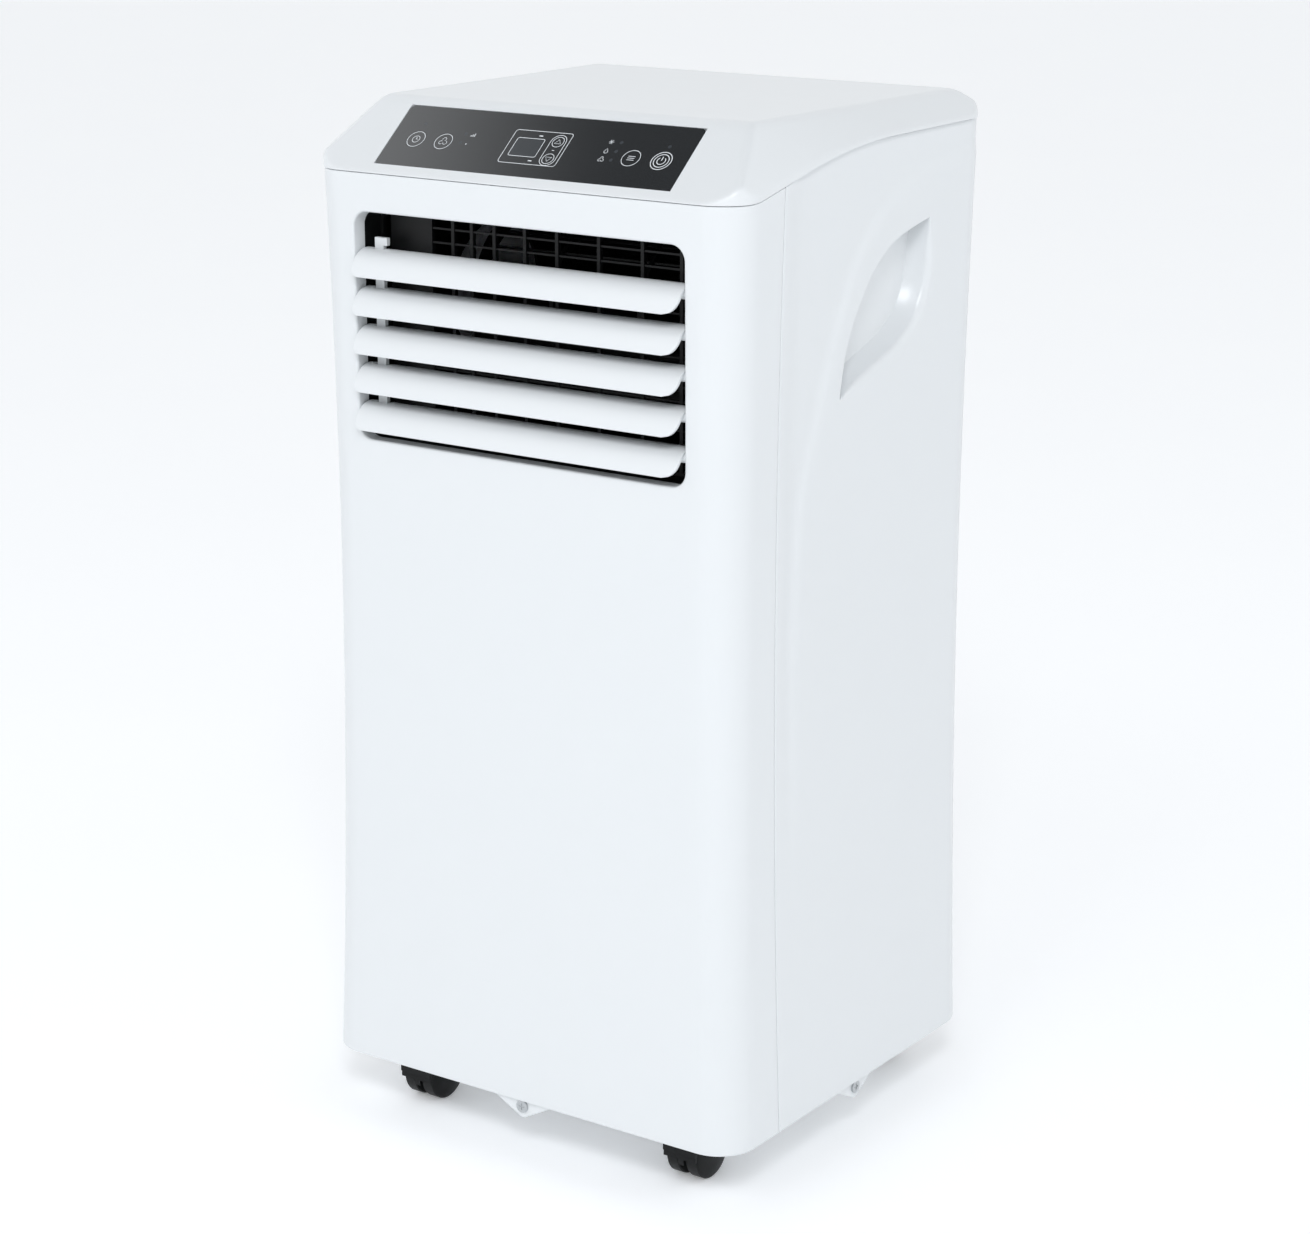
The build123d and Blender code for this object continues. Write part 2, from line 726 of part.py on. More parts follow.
# ---------------------------------------------------------------- filters, exhaust, drain, gland
def filter_frame(middle, height):
    """Slatted filter frame that fills its opening."""
    edge = 2 * filter_edge
    frame = on_back(
        0, middle, RectangleRounded(filter_width, height, filter_corner), 0, -filter_thick
    )
    frame -= on_back(
        0, middle, Rectangle(filter_width - edge, height - edge), -filter_face, -filter_thick - 1
    )
    rows = int((height - edge) / slot_pitch)
    column = (filter_width - edge - (slot_columns - 1) * slot_rib) / slot_columns
    slots = GridLocations(column + slot_rib, slot_pitch, slot_columns, rows) * Rectangle(column, slot_height)
    return frame - on_back(0, middle, Sketch(children=slots), 1, -filter_thick - 1)


def filter_mesh(middle, height):
    """Thin filter net inside its frame."""
    edge = 2 * filter_edge
    net = Rectangle(filter_width - edge, height - edge)
    return on_back(0, middle, net, -mesh_depth, -mesh_depth - mesh_thick)


def exhaust_collar():
    """Round collar that the exhaust hose slides into."""
    length = collar_back - collar_front
    outer = rod((0, collar_front, exhaust_height), (0, 1, 0), exhaust_bore + collar_wall, length)
    flange = rod((0, collar_front, exhaust_height), (0, 1, 0), collar_flange, 3)
    bore = rod((0, collar_front - 5, exhaust_height), (0, 1, 0), exhaust_bore, 60)
    return outer + flange - bore


def drain_start():
    """Face that the drain cap closes on."""
    x, z = drain_place
    return x, back_face(z) + 0.6, z


def drain_plug():
    """Rubber bung in the drain spigot."""
    x, y, z = drain_start()
    return rod((x, y, z), (0, -1, 0), drain_bore - 0.05, 12)


def drain_cap():
    """Knurled knob on the bung."""
    x, y, z = drain_start()
    cap = rod((x, y, z), (0, 1, 0), drain_cap_radius, drain_cap_thick)
    for step in range(16):
        angle = 2 * pi * step / 16
        place = (x + drain_cap_radius * cos(angle), y - 1, z + drain_cap_radius * sin(angle))
        cap -= rod(place, (0, 1, 0), 0.9, 20)
    return cap


def cord_gland():
    """Cable inlet with its inner nut."""
    x, z = gland_place
    flange = on_back(x, z, Circle(gland_radius + 3), 2, 0)
    barrel = on_back(x, z, Circle(gland_radius - 0.02), 0, -12)
    nut = on_back(x, z, RegularPolygon(gland_radius + 4, 6), -wall - 0.5, -wall - 4)
    return flange + barrel + nut - on_back(x, z, Circle(gland_bore), 5, -20)


# ---------------------------------------------------------------- base and casters
stems = [
    ("front_left", -caster_x, caster_front),
    ("front_right", caster_x, caster_front),
    ("rear_left", -caster_x, caster_rear),
    ("rear_right", caster_x, caster_rear),
]


def lug(width_axis, face):
    """V-shaped lug under the middle of one side; face is its outer face along +X before it is turned."""
    slope = (lug_half - 1.5) / (casing_bottom - lug_point)
    shoulder = 1.5 + slope * (pan_bottom + 1 - lug_point)
    outline = Polyline(
        (-shoulder, pan_bottom + 1), (shoulder, pan_bottom + 1), (1.5, lug_point), (-1.5, lug_point),
        close=True,
    )
    plate = extrude(Pos(face - lug_thick, 0, 0) * closed_face(Plane.YZ, outline), amount=lug_thick)
    return Rot(0, 0, width_axis) * plate


def base_pan():
    """Tray under the machinery, with caster sockets, the drain spigot and four screw lugs."""
    inset = wall + pan_gap
    pan = housing_form(inset, pan_bottom, pan_rim)
    pan -= housing_form(inset + wall, pan_bottom + pan_floor, pan_rim + 1)
    for _, x, y in stems:
        pan += rod((x, y, pan_bottom), (0, 0, 1), stem_radius + boss_wall, stem_top - pan_bottom + 3)
        pan -= rod((x, y, pan_bottom - 1), (0, 0, 1), stem_radius + stem_gap, stem_top - pan_bottom + 1.5)
    for turn, face in ((0, side_lug_face), (180, side_lug_face), (-90, front_lug_face), (90, back_lug_face)):
        pan += lug(turn, face)
    for plane in lug_planes:
        pan -= screw_hole(plane)
    x, y, z = drain_start()
    pan += rod((x, y - 1, z), (0, -1, 0), drain_bore + drain_wall, 18)
    return pan - rod((x, y + 1, z), (0, -1, 0), drain_bore, 30)


def caster_hood(x, y):
    """Swivelling hood with its stem and the web between the wheels."""
    centre = (0, caster_trail, wheel_radius)
    inner = wheel_radius + hood_gap
    outer = inner + hood_wall
    start = (-hood_half, caster_trail, wheel_radius)
    cover = rod(start, (1, 0, 0), outer, 2 * hood_half)
    nose = upright_block(
        -hood_half, hood_half, caster_trail - outer - 0.8, caster_trail - 4,
        wheel_radius + 3, wheel_radius + outer,
    )
    body = cover + nose
    body -= rod((-hood_half - 1, caster_trail, wheel_radius), (1, 0, 0), inner, 2 * hood_half + 2)
    body &= upright_block(-30, 30, -60, 60, wheel_radius - 1, 60)
    web = rod((-web_half, caster_trail, wheel_radius), (1, 0, 0), inner + 0.5, 2 * web_half)
    web &= upright_block(-30, 30, -60, 60, wheel_radius - 6, 60)
    body += web
    body += rod((0, 0, wheel_radius + inner - 6), (0, 0, 1), stem_radius, stem_top - wheel_radius - inner + 6)
    for side in (1, -1):
        start = (side * wheel_inner - side * 0.3, caster_trail, wheel_radius)
        body -= rod(start, (side, 0, 0), inner, 10)
    body -= rod((-30, caster_trail, wheel_radius), (1, 0, 0), axle_radius, 60)
    return Pos(x, y, 0) * body


def caster_axle(x, y):
    """Axle through the web."""
    length = 2 * (wheel_shoulder + 0.4)
    return Pos(x, y, 0) * rod((-length / 2, caster_trail, wheel_radius), (1, 0, 0), axle_radius, length)


def caster_wheel(x, y, side):
    """Wheel with a domed outer face and a blind bore."""
    bore = axle_radius + axle_gap
    deep = wheel_shoulder + 0.8
    profile = Polyline(
        (wheel_inner, bore), (deep, bore), (deep, 0), (wheel_outer, 0),
    )
    dome = ThreePointArc(
        (wheel_outer, 0), (wheel_outer - 0.6, wheel_radius * 0.55), (wheel_shoulder, wheel_radius - 1.2)
    )
    tread = Polyline(
        (wheel_shoulder, wheel_radius - 1.2), (wheel_shoulder - 1.0, wheel_radius),
        (wheel_inner + 0.8, wheel_radius), (wheel_inner, wheel_radius - 0.8), (wheel_inner, bore),
    )
    wheel = revolve(closed_face(Plane.XY, profile, dome, tread), axis=Axis.X)
    if side < 0:
        wheel = mirror(wheel, about=Plane.YZ)
    return Pos(x, y + caster_trail, wheel_radius) * wheel


# ---------------------------------------------------------------- machinery
def mid_deck():
    """Drip tray between the cold side above and the hot side below."""
    inset = wall + pan_gap
    deck = housing_form(inset, deck_bottom, deck_bottom + deck_rim)
    deck -= housing_form(inset + wall, deck_bottom + deck_thick, deck_bottom + deck_rim + 1)
    notch = filter_thick + filter_gap + seat_wall + 1
    seat = on_back(
        0, upper_filter_middle,
        Rectangle(filter_width + 2 * seat_wall + 2, upper_filter_height + 2 * seat_wall + 2), 5, -notch,
    )
    deck -= seat
    return deck - rod((*pipe_up, deck_bottom - 5), (0, 0, 1), tube_radius + 1, 30)


def scroll_profile(shrink):
    """Side view of the cold fan's housing: a round back that runs forward into the outlet."""
    y, z = drum_axis
    radius = scroll_radius - shrink
    front = vent_frame_back - 1
    middle = (vent_bottom + vent_top) / 2
    round_back = Pos(y, z) * Circle(radius)
    height = vent_top - vent_bottom + 2 * scroll_wall - 2 * shrink
    mouth = Pos((y - front) / 2, middle) * Rectangle(y + front, height)
    return Plane.YZ * (round_back + mouth)


def cool_fan_housing():
    """Scroll round the cold drum, open to the outlet and at both ends."""
    shell = extrude(scroll_profile(0), amount=scroll_half, both=True)
    shell -= extrude(scroll_profile(scroll_wall), amount=scroll_half - scroll_wall, both=True)
    y, z = drum_axis
    shell -= rod((-reach, y, z), (1, 0, 0), inlet_radius, 2 * reach)
    front = vent_frame_back - 1
    shell -= upright_block(
        -vent_half + 5, vent_half - 5, -front - 5, -front + 5, vent_bottom + 1, vent_top - 1
    )
    return shell


def ring(place, axis, outer, inner, thick):
    """Flat ring."""
    step = tuple(-c for c in axis)
    back = tuple(p + s for p, s in zip(place, step))
    return rod(place, axis, outer, thick) - rod(back, axis, inner, thick + 2)


def cool_fan_wheel():
    """Drum of thin blades with a closed end on its motor side."""
    y, z = drum_axis
    wheel = rod((drum_right - drum_ring_thick, y, z), (1, 0, 0), drum_radius, drum_ring_thick)
    wheel += rod((drum_right - 16, y, z), (1, 0, 0), 10, 16)
    wheel -= rod((drum_right - 40, y, z), (1, 0, 0), fan_shaft + fan_shaft_gap, 60)
    hollow = drum_radius - drum_blade_depth
    for x in drum_rings:
        wheel += ring((x, y, z), (1, 0, 0), drum_radius, hollow, drum_ring_thick)
    length = drum_right - drum_left - drum_ring_thick
    blade = Pos(drum_left + length / 2, 0, drum_radius - drum_blade_depth / 2 - 0.5) * Rot(28, 0, 0) * Box(
        length, drum_blade_thick, drum_blade_depth
    )
    for step in range(drum_blades):
        wheel += Pos(0, y, z) * Rot(360 * step / drum_blades, 0, 0) * blade
    return wheel


def cool_fan_motor():
    """Motor beside the scroll, its shaft through the drum's end."""
    y, z = drum_axis
    start = scroll_half + 0.5
    motor = rod((start, y, z), (1, 0, 0), cool_motor_radius, cool_motor_length)
    bracket = upright_block(start, start + 2, y - inlet_radius - 8, y + inlet_radius + 8, z - 9, z + 9)
    shaft = rod((drum_right - 14, y, z), (1, 0, 0), fan_shaft, start - drum_right + 14)
    return motor + bracket + shaft


def hot_fan_housing():
    """Round duct from the hot fan to the exhaust collar."""
    start = (0, hot_motor_back + 2, exhaust_height)
    length = collar_front - hot_motor_back - 2.5
    radius = exhaust_bore + collar_wall
    duct = rod(start, (0, 1, 0), radius + 2, length)
    duct -= rod((0, hot_motor_back + 5, exhaust_height), (0, 1, 0), radius, 200)
    for step in range(8):
        angle = 2 * pi * step / 8
        place = (40 * cos(angle), hot_motor_back - 10, exhaust_height + 40 * sin(angle))
        duct -= rod(place, (0, 1, 0), 12, 30)
    return duct - rod((0, 0, exhaust_height), (0, 1, 0), fan_shaft + 1, 90)


def hot_fan_wheel():
    """Bladed wheel that drives the hot air out."""
    place = (0, hot_drum_front, exhaust_height)
    wheel = rod(place, (0, 1, 0), hot_drum_radius, 2.5)
    wheel += rod(place, (0, 1, 0), 12, hot_drum_back - hot_drum_front - 8)
    depth = 14
    back = (0, hot_drum_back - 3, exhaust_height)
    wheel += ring(back, (0, 1, 0), hot_drum_radius, hot_drum_radius - depth, 3)
    length = hot_drum_back - hot_drum_front
    blade = Pos(0, hot_drum_front + length / 2, hot_drum_radius - depth / 2 - 0.6) * Rot(0, 26, 0) * Box(
        1.6, length, depth - 1
    )
    for step in range(hot_blades):
        wheel += Pos(0, 0, exhaust_height) * Rot(0, 360 * step / hot_blades, 0) * blade
    return wheel - rod((0, 0, exhaust_height), (0, 1, 0), fan_shaft + fan_shaft_gap, 200)


def hot_fan_motor():
    """Motor in front of the hot fan's duct."""
    body = rod((0, hot_motor_front, exhaust_height), (0, 1, 0), hot_motor_radius, hot_motor_back - hot_motor_front)
    shaft = rod((0, hot_motor_back, exhaust_height), (0, 1, 0), fan_shaft, hot_drum_back - hot_motor_back - 10)
    feet = upright_block(-45, 45, hot_motor_front + 4, hot_motor_front + 8, exhaust_height - 8, exhaust_height + 8)
    return body + shaft + feet


def coil(y0, z0, z1):
    """Finned block between two end plates, with the ends of its tube rows."""
    y1 = y0 + coil_thick
    body = upright_block(-coil_half, coil_half, y0 + 2, y1 - 2, z0 + 1, z1 - 1)
    for side in (-1, 1):
        ends = sorted((side * coil_half, side * (coil_half - coil_end)))
        body += upright_block(*ends, y0, y1, z0, z1)
        for row in range(int((z1 - z0) / coil_row)):
            place = (side * coil_half, (y0 + y1) / 2, z0 + coil_row * (row + 0.5))
            body += rod(place, (side, 0, 0), tube_radius, coil_stub)
    return body


evaporator_low = deck_bottom + deck_rim + 4


def compressor():
    """Sealed compressor can with its domed ends, base plate and accumulator."""
    x, y = compressor_place
    can = Pos(x, y, (compressor_bottom + compressor_top) / 2) * Cylinder(
        compressor_radius, compressor_top - compressor_bottom
    )
    can = fillet(can.edges().filter_by(GeomType.CIRCLE), 16)
    plate = upright_block(x - 60, x + 60, y - 60, y + 60, compressor_bottom, compressor_bottom + 3)
    bottle = rod((x + bottle_out, y, compressor_bottom + bottle_lift), (0, 0, 1), bottle_radius, bottle_height)
    level = compressor_bottom + bottle_lift + bottle_height / 2
    strap = upright_block(x + compressor_radius - 4, x + bottle_out, y - 4, y + 4, level, level + 10)
    return can + plate + bottle + strap


def compressor_feet():
    """Rubber feet between the base pan and the compressor's plate."""
    x, y = compressor_place
    low = pan_bottom + pan_floor
    feet = [
        rod((x + dx, y + dy, low), (0, 0, 1), 9, compressor_bottom - low)
        for dx, dy in ((-50, -50), (50, -50), (-50, 50), (50, 50))
    ]
    return Compound(children=feet)


def tube(points, radius, bend):
    """Round tube along straight runs joined by arcs."""
    path = FilletPolyline(*points, radius=bend)
    return sweep(Plane(origin=path @ 0, z_dir=path % 0) * Circle(radius), path=path)


def refrigerant_pipes():
    """Discharge pipe to the condenser and suction pipe from the evaporator."""
    x, y = compressor_place
    bend = 12
    top = compressor_bottom + bottle_lift + bottle_height
    middle = coil_thick / 2
    hot_end = -coil_half - coil_stub
    cold_end = coil_half + coil_stub
    hot_row = condenser_low + coil_row / 2
    cold_row = evaporator_low + coil_row / 2
    discharge = tube(
        [
            (x, y, compressor_top), (x, y, compressor_top + 30), (hot_end - 15, y, compressor_top + 30),
            (hot_end - 15, condenser_front + middle, compressor_top + 30),
            (hot_end - 15, condenser_front + middle, hot_row), (hot_end, condenser_front + middle, hot_row),
        ],
        tube_radius, bend,
    )
    px, py = pipe_up
    suction = tube(
        [
            (x + bottle_out, y, top), (x + bottle_out, y, top + 40), (px, y, top + 40),
            (px, py, top + 40), (px, py, cold_row), (cold_end + 15, py, cold_row),
            (cold_end + 15, evaporator_front + middle, cold_row), (cold_end, evaporator_front + middle, cold_row),
        ],
        tube_radius, bend,
    )
    return Compound(children=[discharge, suction])


def control_box():
    """Electrical box beside the compressor."""
    box = upright_block(52, 140, -135, -55, 80, 260)
    box -= upright_block(54, 138, -133, -57, 82, 270)
    lid = upright_block(50, 142, -137, -53, 260, 263)
    return box + lid


# ---------------------------------------------------------------- files
def build():
    """Builds every sub-part and writes it to its own file."""
    shell = casing_shell()
    save("front_panel", front_panel(shell, seam_region(-seam_gap / 2, False)))
    save("rear_casing", rear_casing(shell, seam_region(-seam_gap / 2, False)))
    save("top_cover", top_cover(seam_region(seam_gap / 2, True)))
    save("control_fascia", control_fascia())
    save("display_window", display_window())
    save("indicator_lights", indicator_lights())
    save("control_board", control_board())
    for name, place in keys.items():
        save(f"button_{name}", key(*place))
    for index in range(blade_count):
        save(f"louvre_blade_{index + 1}", louvre_blade(index))
    save("louvre_link", louvre_link())
    save("vent_frame", vent_frame())
    save("outlet_guard", outlet_guard())
    for name, middle, height in (
        ("upper", upper_filter_middle, upper_filter_height),
        ("lower", lower_filter_middle, lower_filter_height),
    ):
        save(f"{name}_filter_frame", filter_frame(middle, height))
        save(f"{name}_filter_mesh", filter_mesh(middle, height))
    save("exhaust_collar", exhaust_collar())
    save("drain_plug", drain_plug())
    save("drain_cap", drain_cap())
    save("cord_gland", cord_gland())
    save("casing_screws", Compound(children=[screw(p) for p in lug_planes + back_screw_planes]))
    save("base_pan", base_pan())
    save("mid_deck", mid_deck())
    save("cool_fan_housing", cool_fan_housing())
    save("cool_fan_wheel", cool_fan_wheel())
    save("cool_fan_motor", cool_fan_motor())
    save("hot_fan_housing", hot_fan_housing())
    save("hot_fan_wheel", hot_fan_wheel())
    save("hot_fan_motor", hot_fan_motor())
    save("condenser_coil", coil(condenser_front, condenser_low, condenser_high))
    save("evaporator_coil", coil(evaporator_front, evaporator_low, evaporator_high))
    save("compressor", compressor())
    save("compressor_feet", compressor_feet())
    save("refrigerant_pipes", refrigerant_pipes())
    save("control_box", control_box())
    for name, x, y in stems:
        save(f"caster_{name}_hood", caster_hood(x, y))
        save(f"caster_{name}_axle", caster_axle(x, y))
        save(f"caster_{name}_wheel_left", caster_wheel(x, y, -1))
        save(f"caster_{name}_wheel_right", caster_wheel(x, y, 1))


build()
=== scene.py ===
"""Visual model of a portable air conditioner on casters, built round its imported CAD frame.

Sizes inside the classes are in millimetres, and meshes are in metres. The origin is on the floor under
the middle of the object, +Z is up and the front faces -Y.
"""

from __future__ import annotations

import json
import logging
import math
from collections.abc import Callable, Iterable, Sequence
from dataclasses import dataclass, field
from enum import Enum

import bmesh
import bpy
from mathutils import Matrix, Vector

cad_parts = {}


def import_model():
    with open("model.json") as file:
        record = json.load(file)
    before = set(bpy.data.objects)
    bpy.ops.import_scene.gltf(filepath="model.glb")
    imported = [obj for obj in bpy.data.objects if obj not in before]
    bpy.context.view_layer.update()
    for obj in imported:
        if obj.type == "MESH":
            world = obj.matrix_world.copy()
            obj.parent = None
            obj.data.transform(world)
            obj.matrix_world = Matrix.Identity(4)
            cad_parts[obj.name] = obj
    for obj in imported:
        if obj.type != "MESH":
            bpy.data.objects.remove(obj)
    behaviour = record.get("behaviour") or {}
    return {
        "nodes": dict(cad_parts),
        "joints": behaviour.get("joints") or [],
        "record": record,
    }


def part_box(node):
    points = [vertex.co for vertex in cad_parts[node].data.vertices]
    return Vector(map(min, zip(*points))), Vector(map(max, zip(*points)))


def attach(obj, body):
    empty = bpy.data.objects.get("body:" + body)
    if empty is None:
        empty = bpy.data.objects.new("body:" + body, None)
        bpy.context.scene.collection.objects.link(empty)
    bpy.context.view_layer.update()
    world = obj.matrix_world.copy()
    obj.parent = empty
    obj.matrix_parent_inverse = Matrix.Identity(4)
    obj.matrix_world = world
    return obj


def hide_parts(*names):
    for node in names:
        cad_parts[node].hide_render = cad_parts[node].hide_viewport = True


LOG = logging.getLogger("air_conditioner")
MM = 0.001
Point = tuple[float, float, float]
Flat = tuple[float, float]
Counts = tuple[int, int, int]
CLOSE = 1e-7  # metres within which two points are one


# ---------------------------------------------------------------- small tools
def linear(colour: str) -> tuple[float, float, float, float]:
    """Turns an sRGB hex colour to linear light.

    Args:
        colour: Six hex digits after a hash sign.

    Returns:
        Red, green, blue and an alpha of one.
    """
    shares = [int(colour[i : i + 2], 16) / 255 for i in (1, 3, 5)]
    red, green, blue = (s / 12.92 if s <= 0.04045 else ((s + 0.055) / 1.055) ** 2.4 for s in shares)
    return (red, green, blue, 1.0)


def smooth_step(share: float) -> float:
    """Returns a soft 0 to 1 ramp of a share, held at its ends."""
    share = min(max(share, 0.0), 1.0)
    return share * share * (3 - 2 * share)


def soft_min(first: float, second: float, blend: float) -> float:
    """Lower of two heights, eased where they come within a blend of each other.

    Args:
        first: One height.
        second: The other height.
        blend: Difference of the two at which the easing begins.

    Returns:
        The eased lower height.
    """
    near = max(blend - abs(first - second), 0.0) / blend
    return min(first, second) - near * near * blend / 4


def through_points(points: Sequence[Flat], count: int) -> list[Flat]:
    """Spreads points along a smooth curve through given ones.

    Args:
        points: The points that the curve passes.
        count: How many points to give back, ends included.

    Returns:
        Points at even parameter steps of a Catmull-Rom curve.
    """
    ends = [points[0], *points, points[-1]]
    spans = len(points) - 1
    made = []
    for step in range(count):
        place = step / (count - 1) * spans
        span = min(int(place), spans - 1)
        t = place - span
        a, b, c, d = ends[span : span + 4]
        made.append(
            tuple(
                0.5 * (2 * b[k] + (c[k] - a[k]) * t + (2 * a[k] - 5 * b[k] + 4 * c[k] - d[k]) * t**2
                       + (3 * b[k] - a[k] - 3 * c[k] + d[k]) * t**3)
                for k in (0, 1)
            )
        )
    return made


def circle_through(a: Flat, b: Flat, c: Flat) -> tuple[Flat, float]:
    """Finds the circle through three points.

    Args:
        a: First point.
        b: Second point.
        c: Third point.

    Returns:
        The centre and the radius.
    """
    d = 2 * (a[0] * (b[1] - c[1]) + b[0] * (c[1] - a[1]) + c[0] * (a[1] - b[1]))
    qa, qb, qc = (p[0] ** 2 + p[1] ** 2 for p in (a, b, c))
    x = (qa * (b[1] - c[1]) + qb * (c[1] - a[1]) + qc * (a[1] - b[1])) / d
    y = (qa * (c[0] - b[0]) + qb * (a[0] - c[0]) + qc * (b[0] - a[0])) / d
    return (x, y), math.hypot(a[0] - x, a[1] - y)


def arc_of(centre: Flat, radius: float, start: float, end: float, count: int) -> list[Flat]:
    """Returns points along a circular arc, its angles in degrees."""
    angles = [math.radians(start + (end - start) * i / (count - 1)) for i in range(count)]
    return [(centre[0] + radius * math.cos(a), centre[1] + radius * math.sin(a)) for a in angles]


def rounded_rectangle(x: Flat, y: Flat, radii: Flat, counts: Counts) -> list[Flat]:
    """Outline of a rectangle with rounded corners.

    Args:
        x: Lowest and highest X.
        y: Lowest and highest Y.
        radii: Radius of the corners at low Y and at high Y.
        counts: Steps along an X side, along a Y side and round a corner.

    Returns:
        Points anticlockwise from the low end of the high X side, without a repeat at the end.
    """
    low, high = radii
    across, along, corner = counts
    right = (x[1], y[0] + low), (x[1], y[1] - high)
    top = (x[1] - high, y[1]), (x[0] + high, y[1])
    left = (x[0], y[1] - high), (x[0], y[0] + low)
    bottom = (x[0] + low, y[0]), (x[1] - low, y[0])
    corners = [((x[1] - high, y[1] - high), high, 0), ((x[0] + high, y[1] - high), high, 90),
               ((x[0] + low, y[0] + low), low, 180), ((x[1] - low, y[0] + low), low, 270)]
    outline: list[Flat] = []
    for (start, end), steps, (centre, radius, angle) in zip(
        (right, top, left, bottom), (along, across, along, across), corners
    ):
        outline += [
            (start[0] + (end[0] - start[0]) * i / steps, start[1] + (end[1] - start[1]) * i / steps)
            for i in range(steps)
        ]
        outline += arc_of(centre, radius, angle, angle + 90, corner + 1)[:-1]
    return outline


def grown(outline: Sequence[Flat], amounts: Sequence[float]) -> list[Flat]:
    """Moves each point of a closed outline along its outward normal.

    Args:
        outline: Points of the closed outline.
        amounts: Distance for each point, outwards where positive.

    Returns:
        The moved points.
    """
    count = len(outline)
    area = sum(outline[i - 1][0] * outline[i][1] - outline[i][0] * outline[i - 1][1] for i in range(count))
    turn = 1.0 if area > 0 else -1.0
    moved = []
    for i, (x, y) in enumerate(outline):
        before, after = outline[i - 1], outline[(i + 1) % count]
        dx, dy = after[0] - before[0], after[1] - before[1]
        length = math.hypot(dx, dy) or 1.0
        moved.append((x + turn * dy / length * amounts[i], y - turn * dx / length * amounts[i]))
    return moved


# ---------------------------------------------------------------- mesh tools
def deselect_all() -> None:
    """Leaves object mode with nothing selected."""
    if bpy.context.object and bpy.context.object.mode != "OBJECT":
        bpy.ops.object.mode_set(mode="OBJECT")
    bpy.ops.object.select_all(action="DESELECT")


def take_up(piece: bpy.types.Object) -> None:
    """Makes a piece the only selected and the active one."""
    deselect_all()
    piece.select_set(True)
    bpy.context.view_layer.objects.active = piece


def named(name: str) -> bpy.types.Object:
    """Gives the primitive that was just added its name, and applies its place."""
    piece = bpy.context.object
    piece.name = name
    piece.data.name = name
    take_up(piece)
    bpy.ops.object.transform_apply(location=True, rotation=True, scale=True)
    return piece


def edit(piece: bpy.types.Object, *steps: Callable[[], object]) -> None:
    """Runs edit-mode steps on a piece, everything selected at first."""
    take_up(piece)
    bpy.ops.object.mode_set(mode="EDIT")
    bpy.ops.mesh.select_all(action="SELECT")
    for step in steps:
        step()
    bpy.ops.object.mode_set(mode="OBJECT")


def pick_edges(piece: bpy.types.Object, wanted: Callable[[bmesh.types.BMEdge], bool]) -> None:
    """Selects, in edit mode, the edges that meet a test."""
    bpy.ops.mesh.select_all(action="DESELECT")
    mesh = bmesh.from_edit_mesh(piece.data)
    for edge in mesh.edges:
        edge.select_set(wanted(edge))
    bmesh.update_edit_mesh(piece.data)


def finish_with(piece: bpy.types.Object, kind: str, **settings: object) -> None:
    """Adds a modifier to a piece, sets it and applies it."""
    take_up(piece)
    modifier = piece.modifiers.new(kind.lower(), kind)
    for key, value in settings.items():
        setattr(modifier, key, value)
    bpy.ops.object.modifier_apply(modifier=modifier.name)


def round_edges(piece: bpy.types.Object, width: float, angle: float = 60.0) -> None:
    """Rounds the edges of a piece that are sharper than an angle in degrees."""
    finish_with(
        piece, "BEVEL", width=width * MM, segments=3, limit_method="ANGLE", angle_limit=math.radians(angle)
    )


def thicken(piece: bpy.types.Object, wall: float) -> None:
    """Gives an open sheet a wall on its inner side."""
    finish_with(piece, "SOLIDIFY", thickness=wall * MM, offset=-1.0, use_even_offset=True)


def combine(piece: bpy.types.Object, tool: bpy.types.Object, operation: str) -> None:
    """Cuts a tool from a piece or adds it, and removes the tool."""
    finish_with(piece, "BOOLEAN", object=tool, operation=operation, solver="EXACT")
    bpy.data.objects.remove(tool)


def joined(pieces: Sequence[bpy.types.Object], name: str) -> bpy.types.Object:
    """Joins pieces into the first one under a new name."""
    take_up(pieces[0])
    for piece in pieces[1:]:
        piece.select_set(True)
    if len(pieces) > 1:
        bpy.ops.object.join()
    pieces[0].name = name
    pieces[0].data.name = name
    return pieces[0]


def soften(piece: bpy.types.Object, angle: float = 32.0) -> bpy.types.Object:
    """Shades a piece smooth, apart from edges sharper than an angle in degrees."""
    take_up(piece)
    bpy.ops.object.shade_smooth_by_angle(angle=math.radians(angle))
    return piece


def woven_grid(name: str, columns: int, rows: int, place: Callable[[int, int], Point]) -> bpy.types.Object:
    """Starts from a flat grid and lays each of its points where a form says.

    Args:
        name: The piece's name.
        columns: Faces along the first way.
        rows: Faces along the second way.
        place: Gives a point in millimetres for a column and a row.

    Returns:
        The open sheet.
    """
    deselect_all()
    bpy.ops.mesh.primitive_grid_add(x_subdivisions=columns, y_subdivisions=rows, size=2)
    piece = named(name)
    for vertex in piece.data.vertices:
        column = round((vertex.co.x + 1) / 2 * columns)
        row = round((vertex.co.y + 1) / 2 * rows)
        vertex.co = Vector(place(column, row)) * MM
    return piece


def face_from(piece: bpy.types.Object, centre: Point) -> None:
    """Turns an open sheet so that its faces look away from a point in millimetres."""
    middle = Vector(centre) * MM
    facing = sum((f.center - middle).dot(f.normal) * f.area for f in piece.data.polygons)
    if facing < 0:
        edit(piece, bpy.ops.mesh.flip_normals)


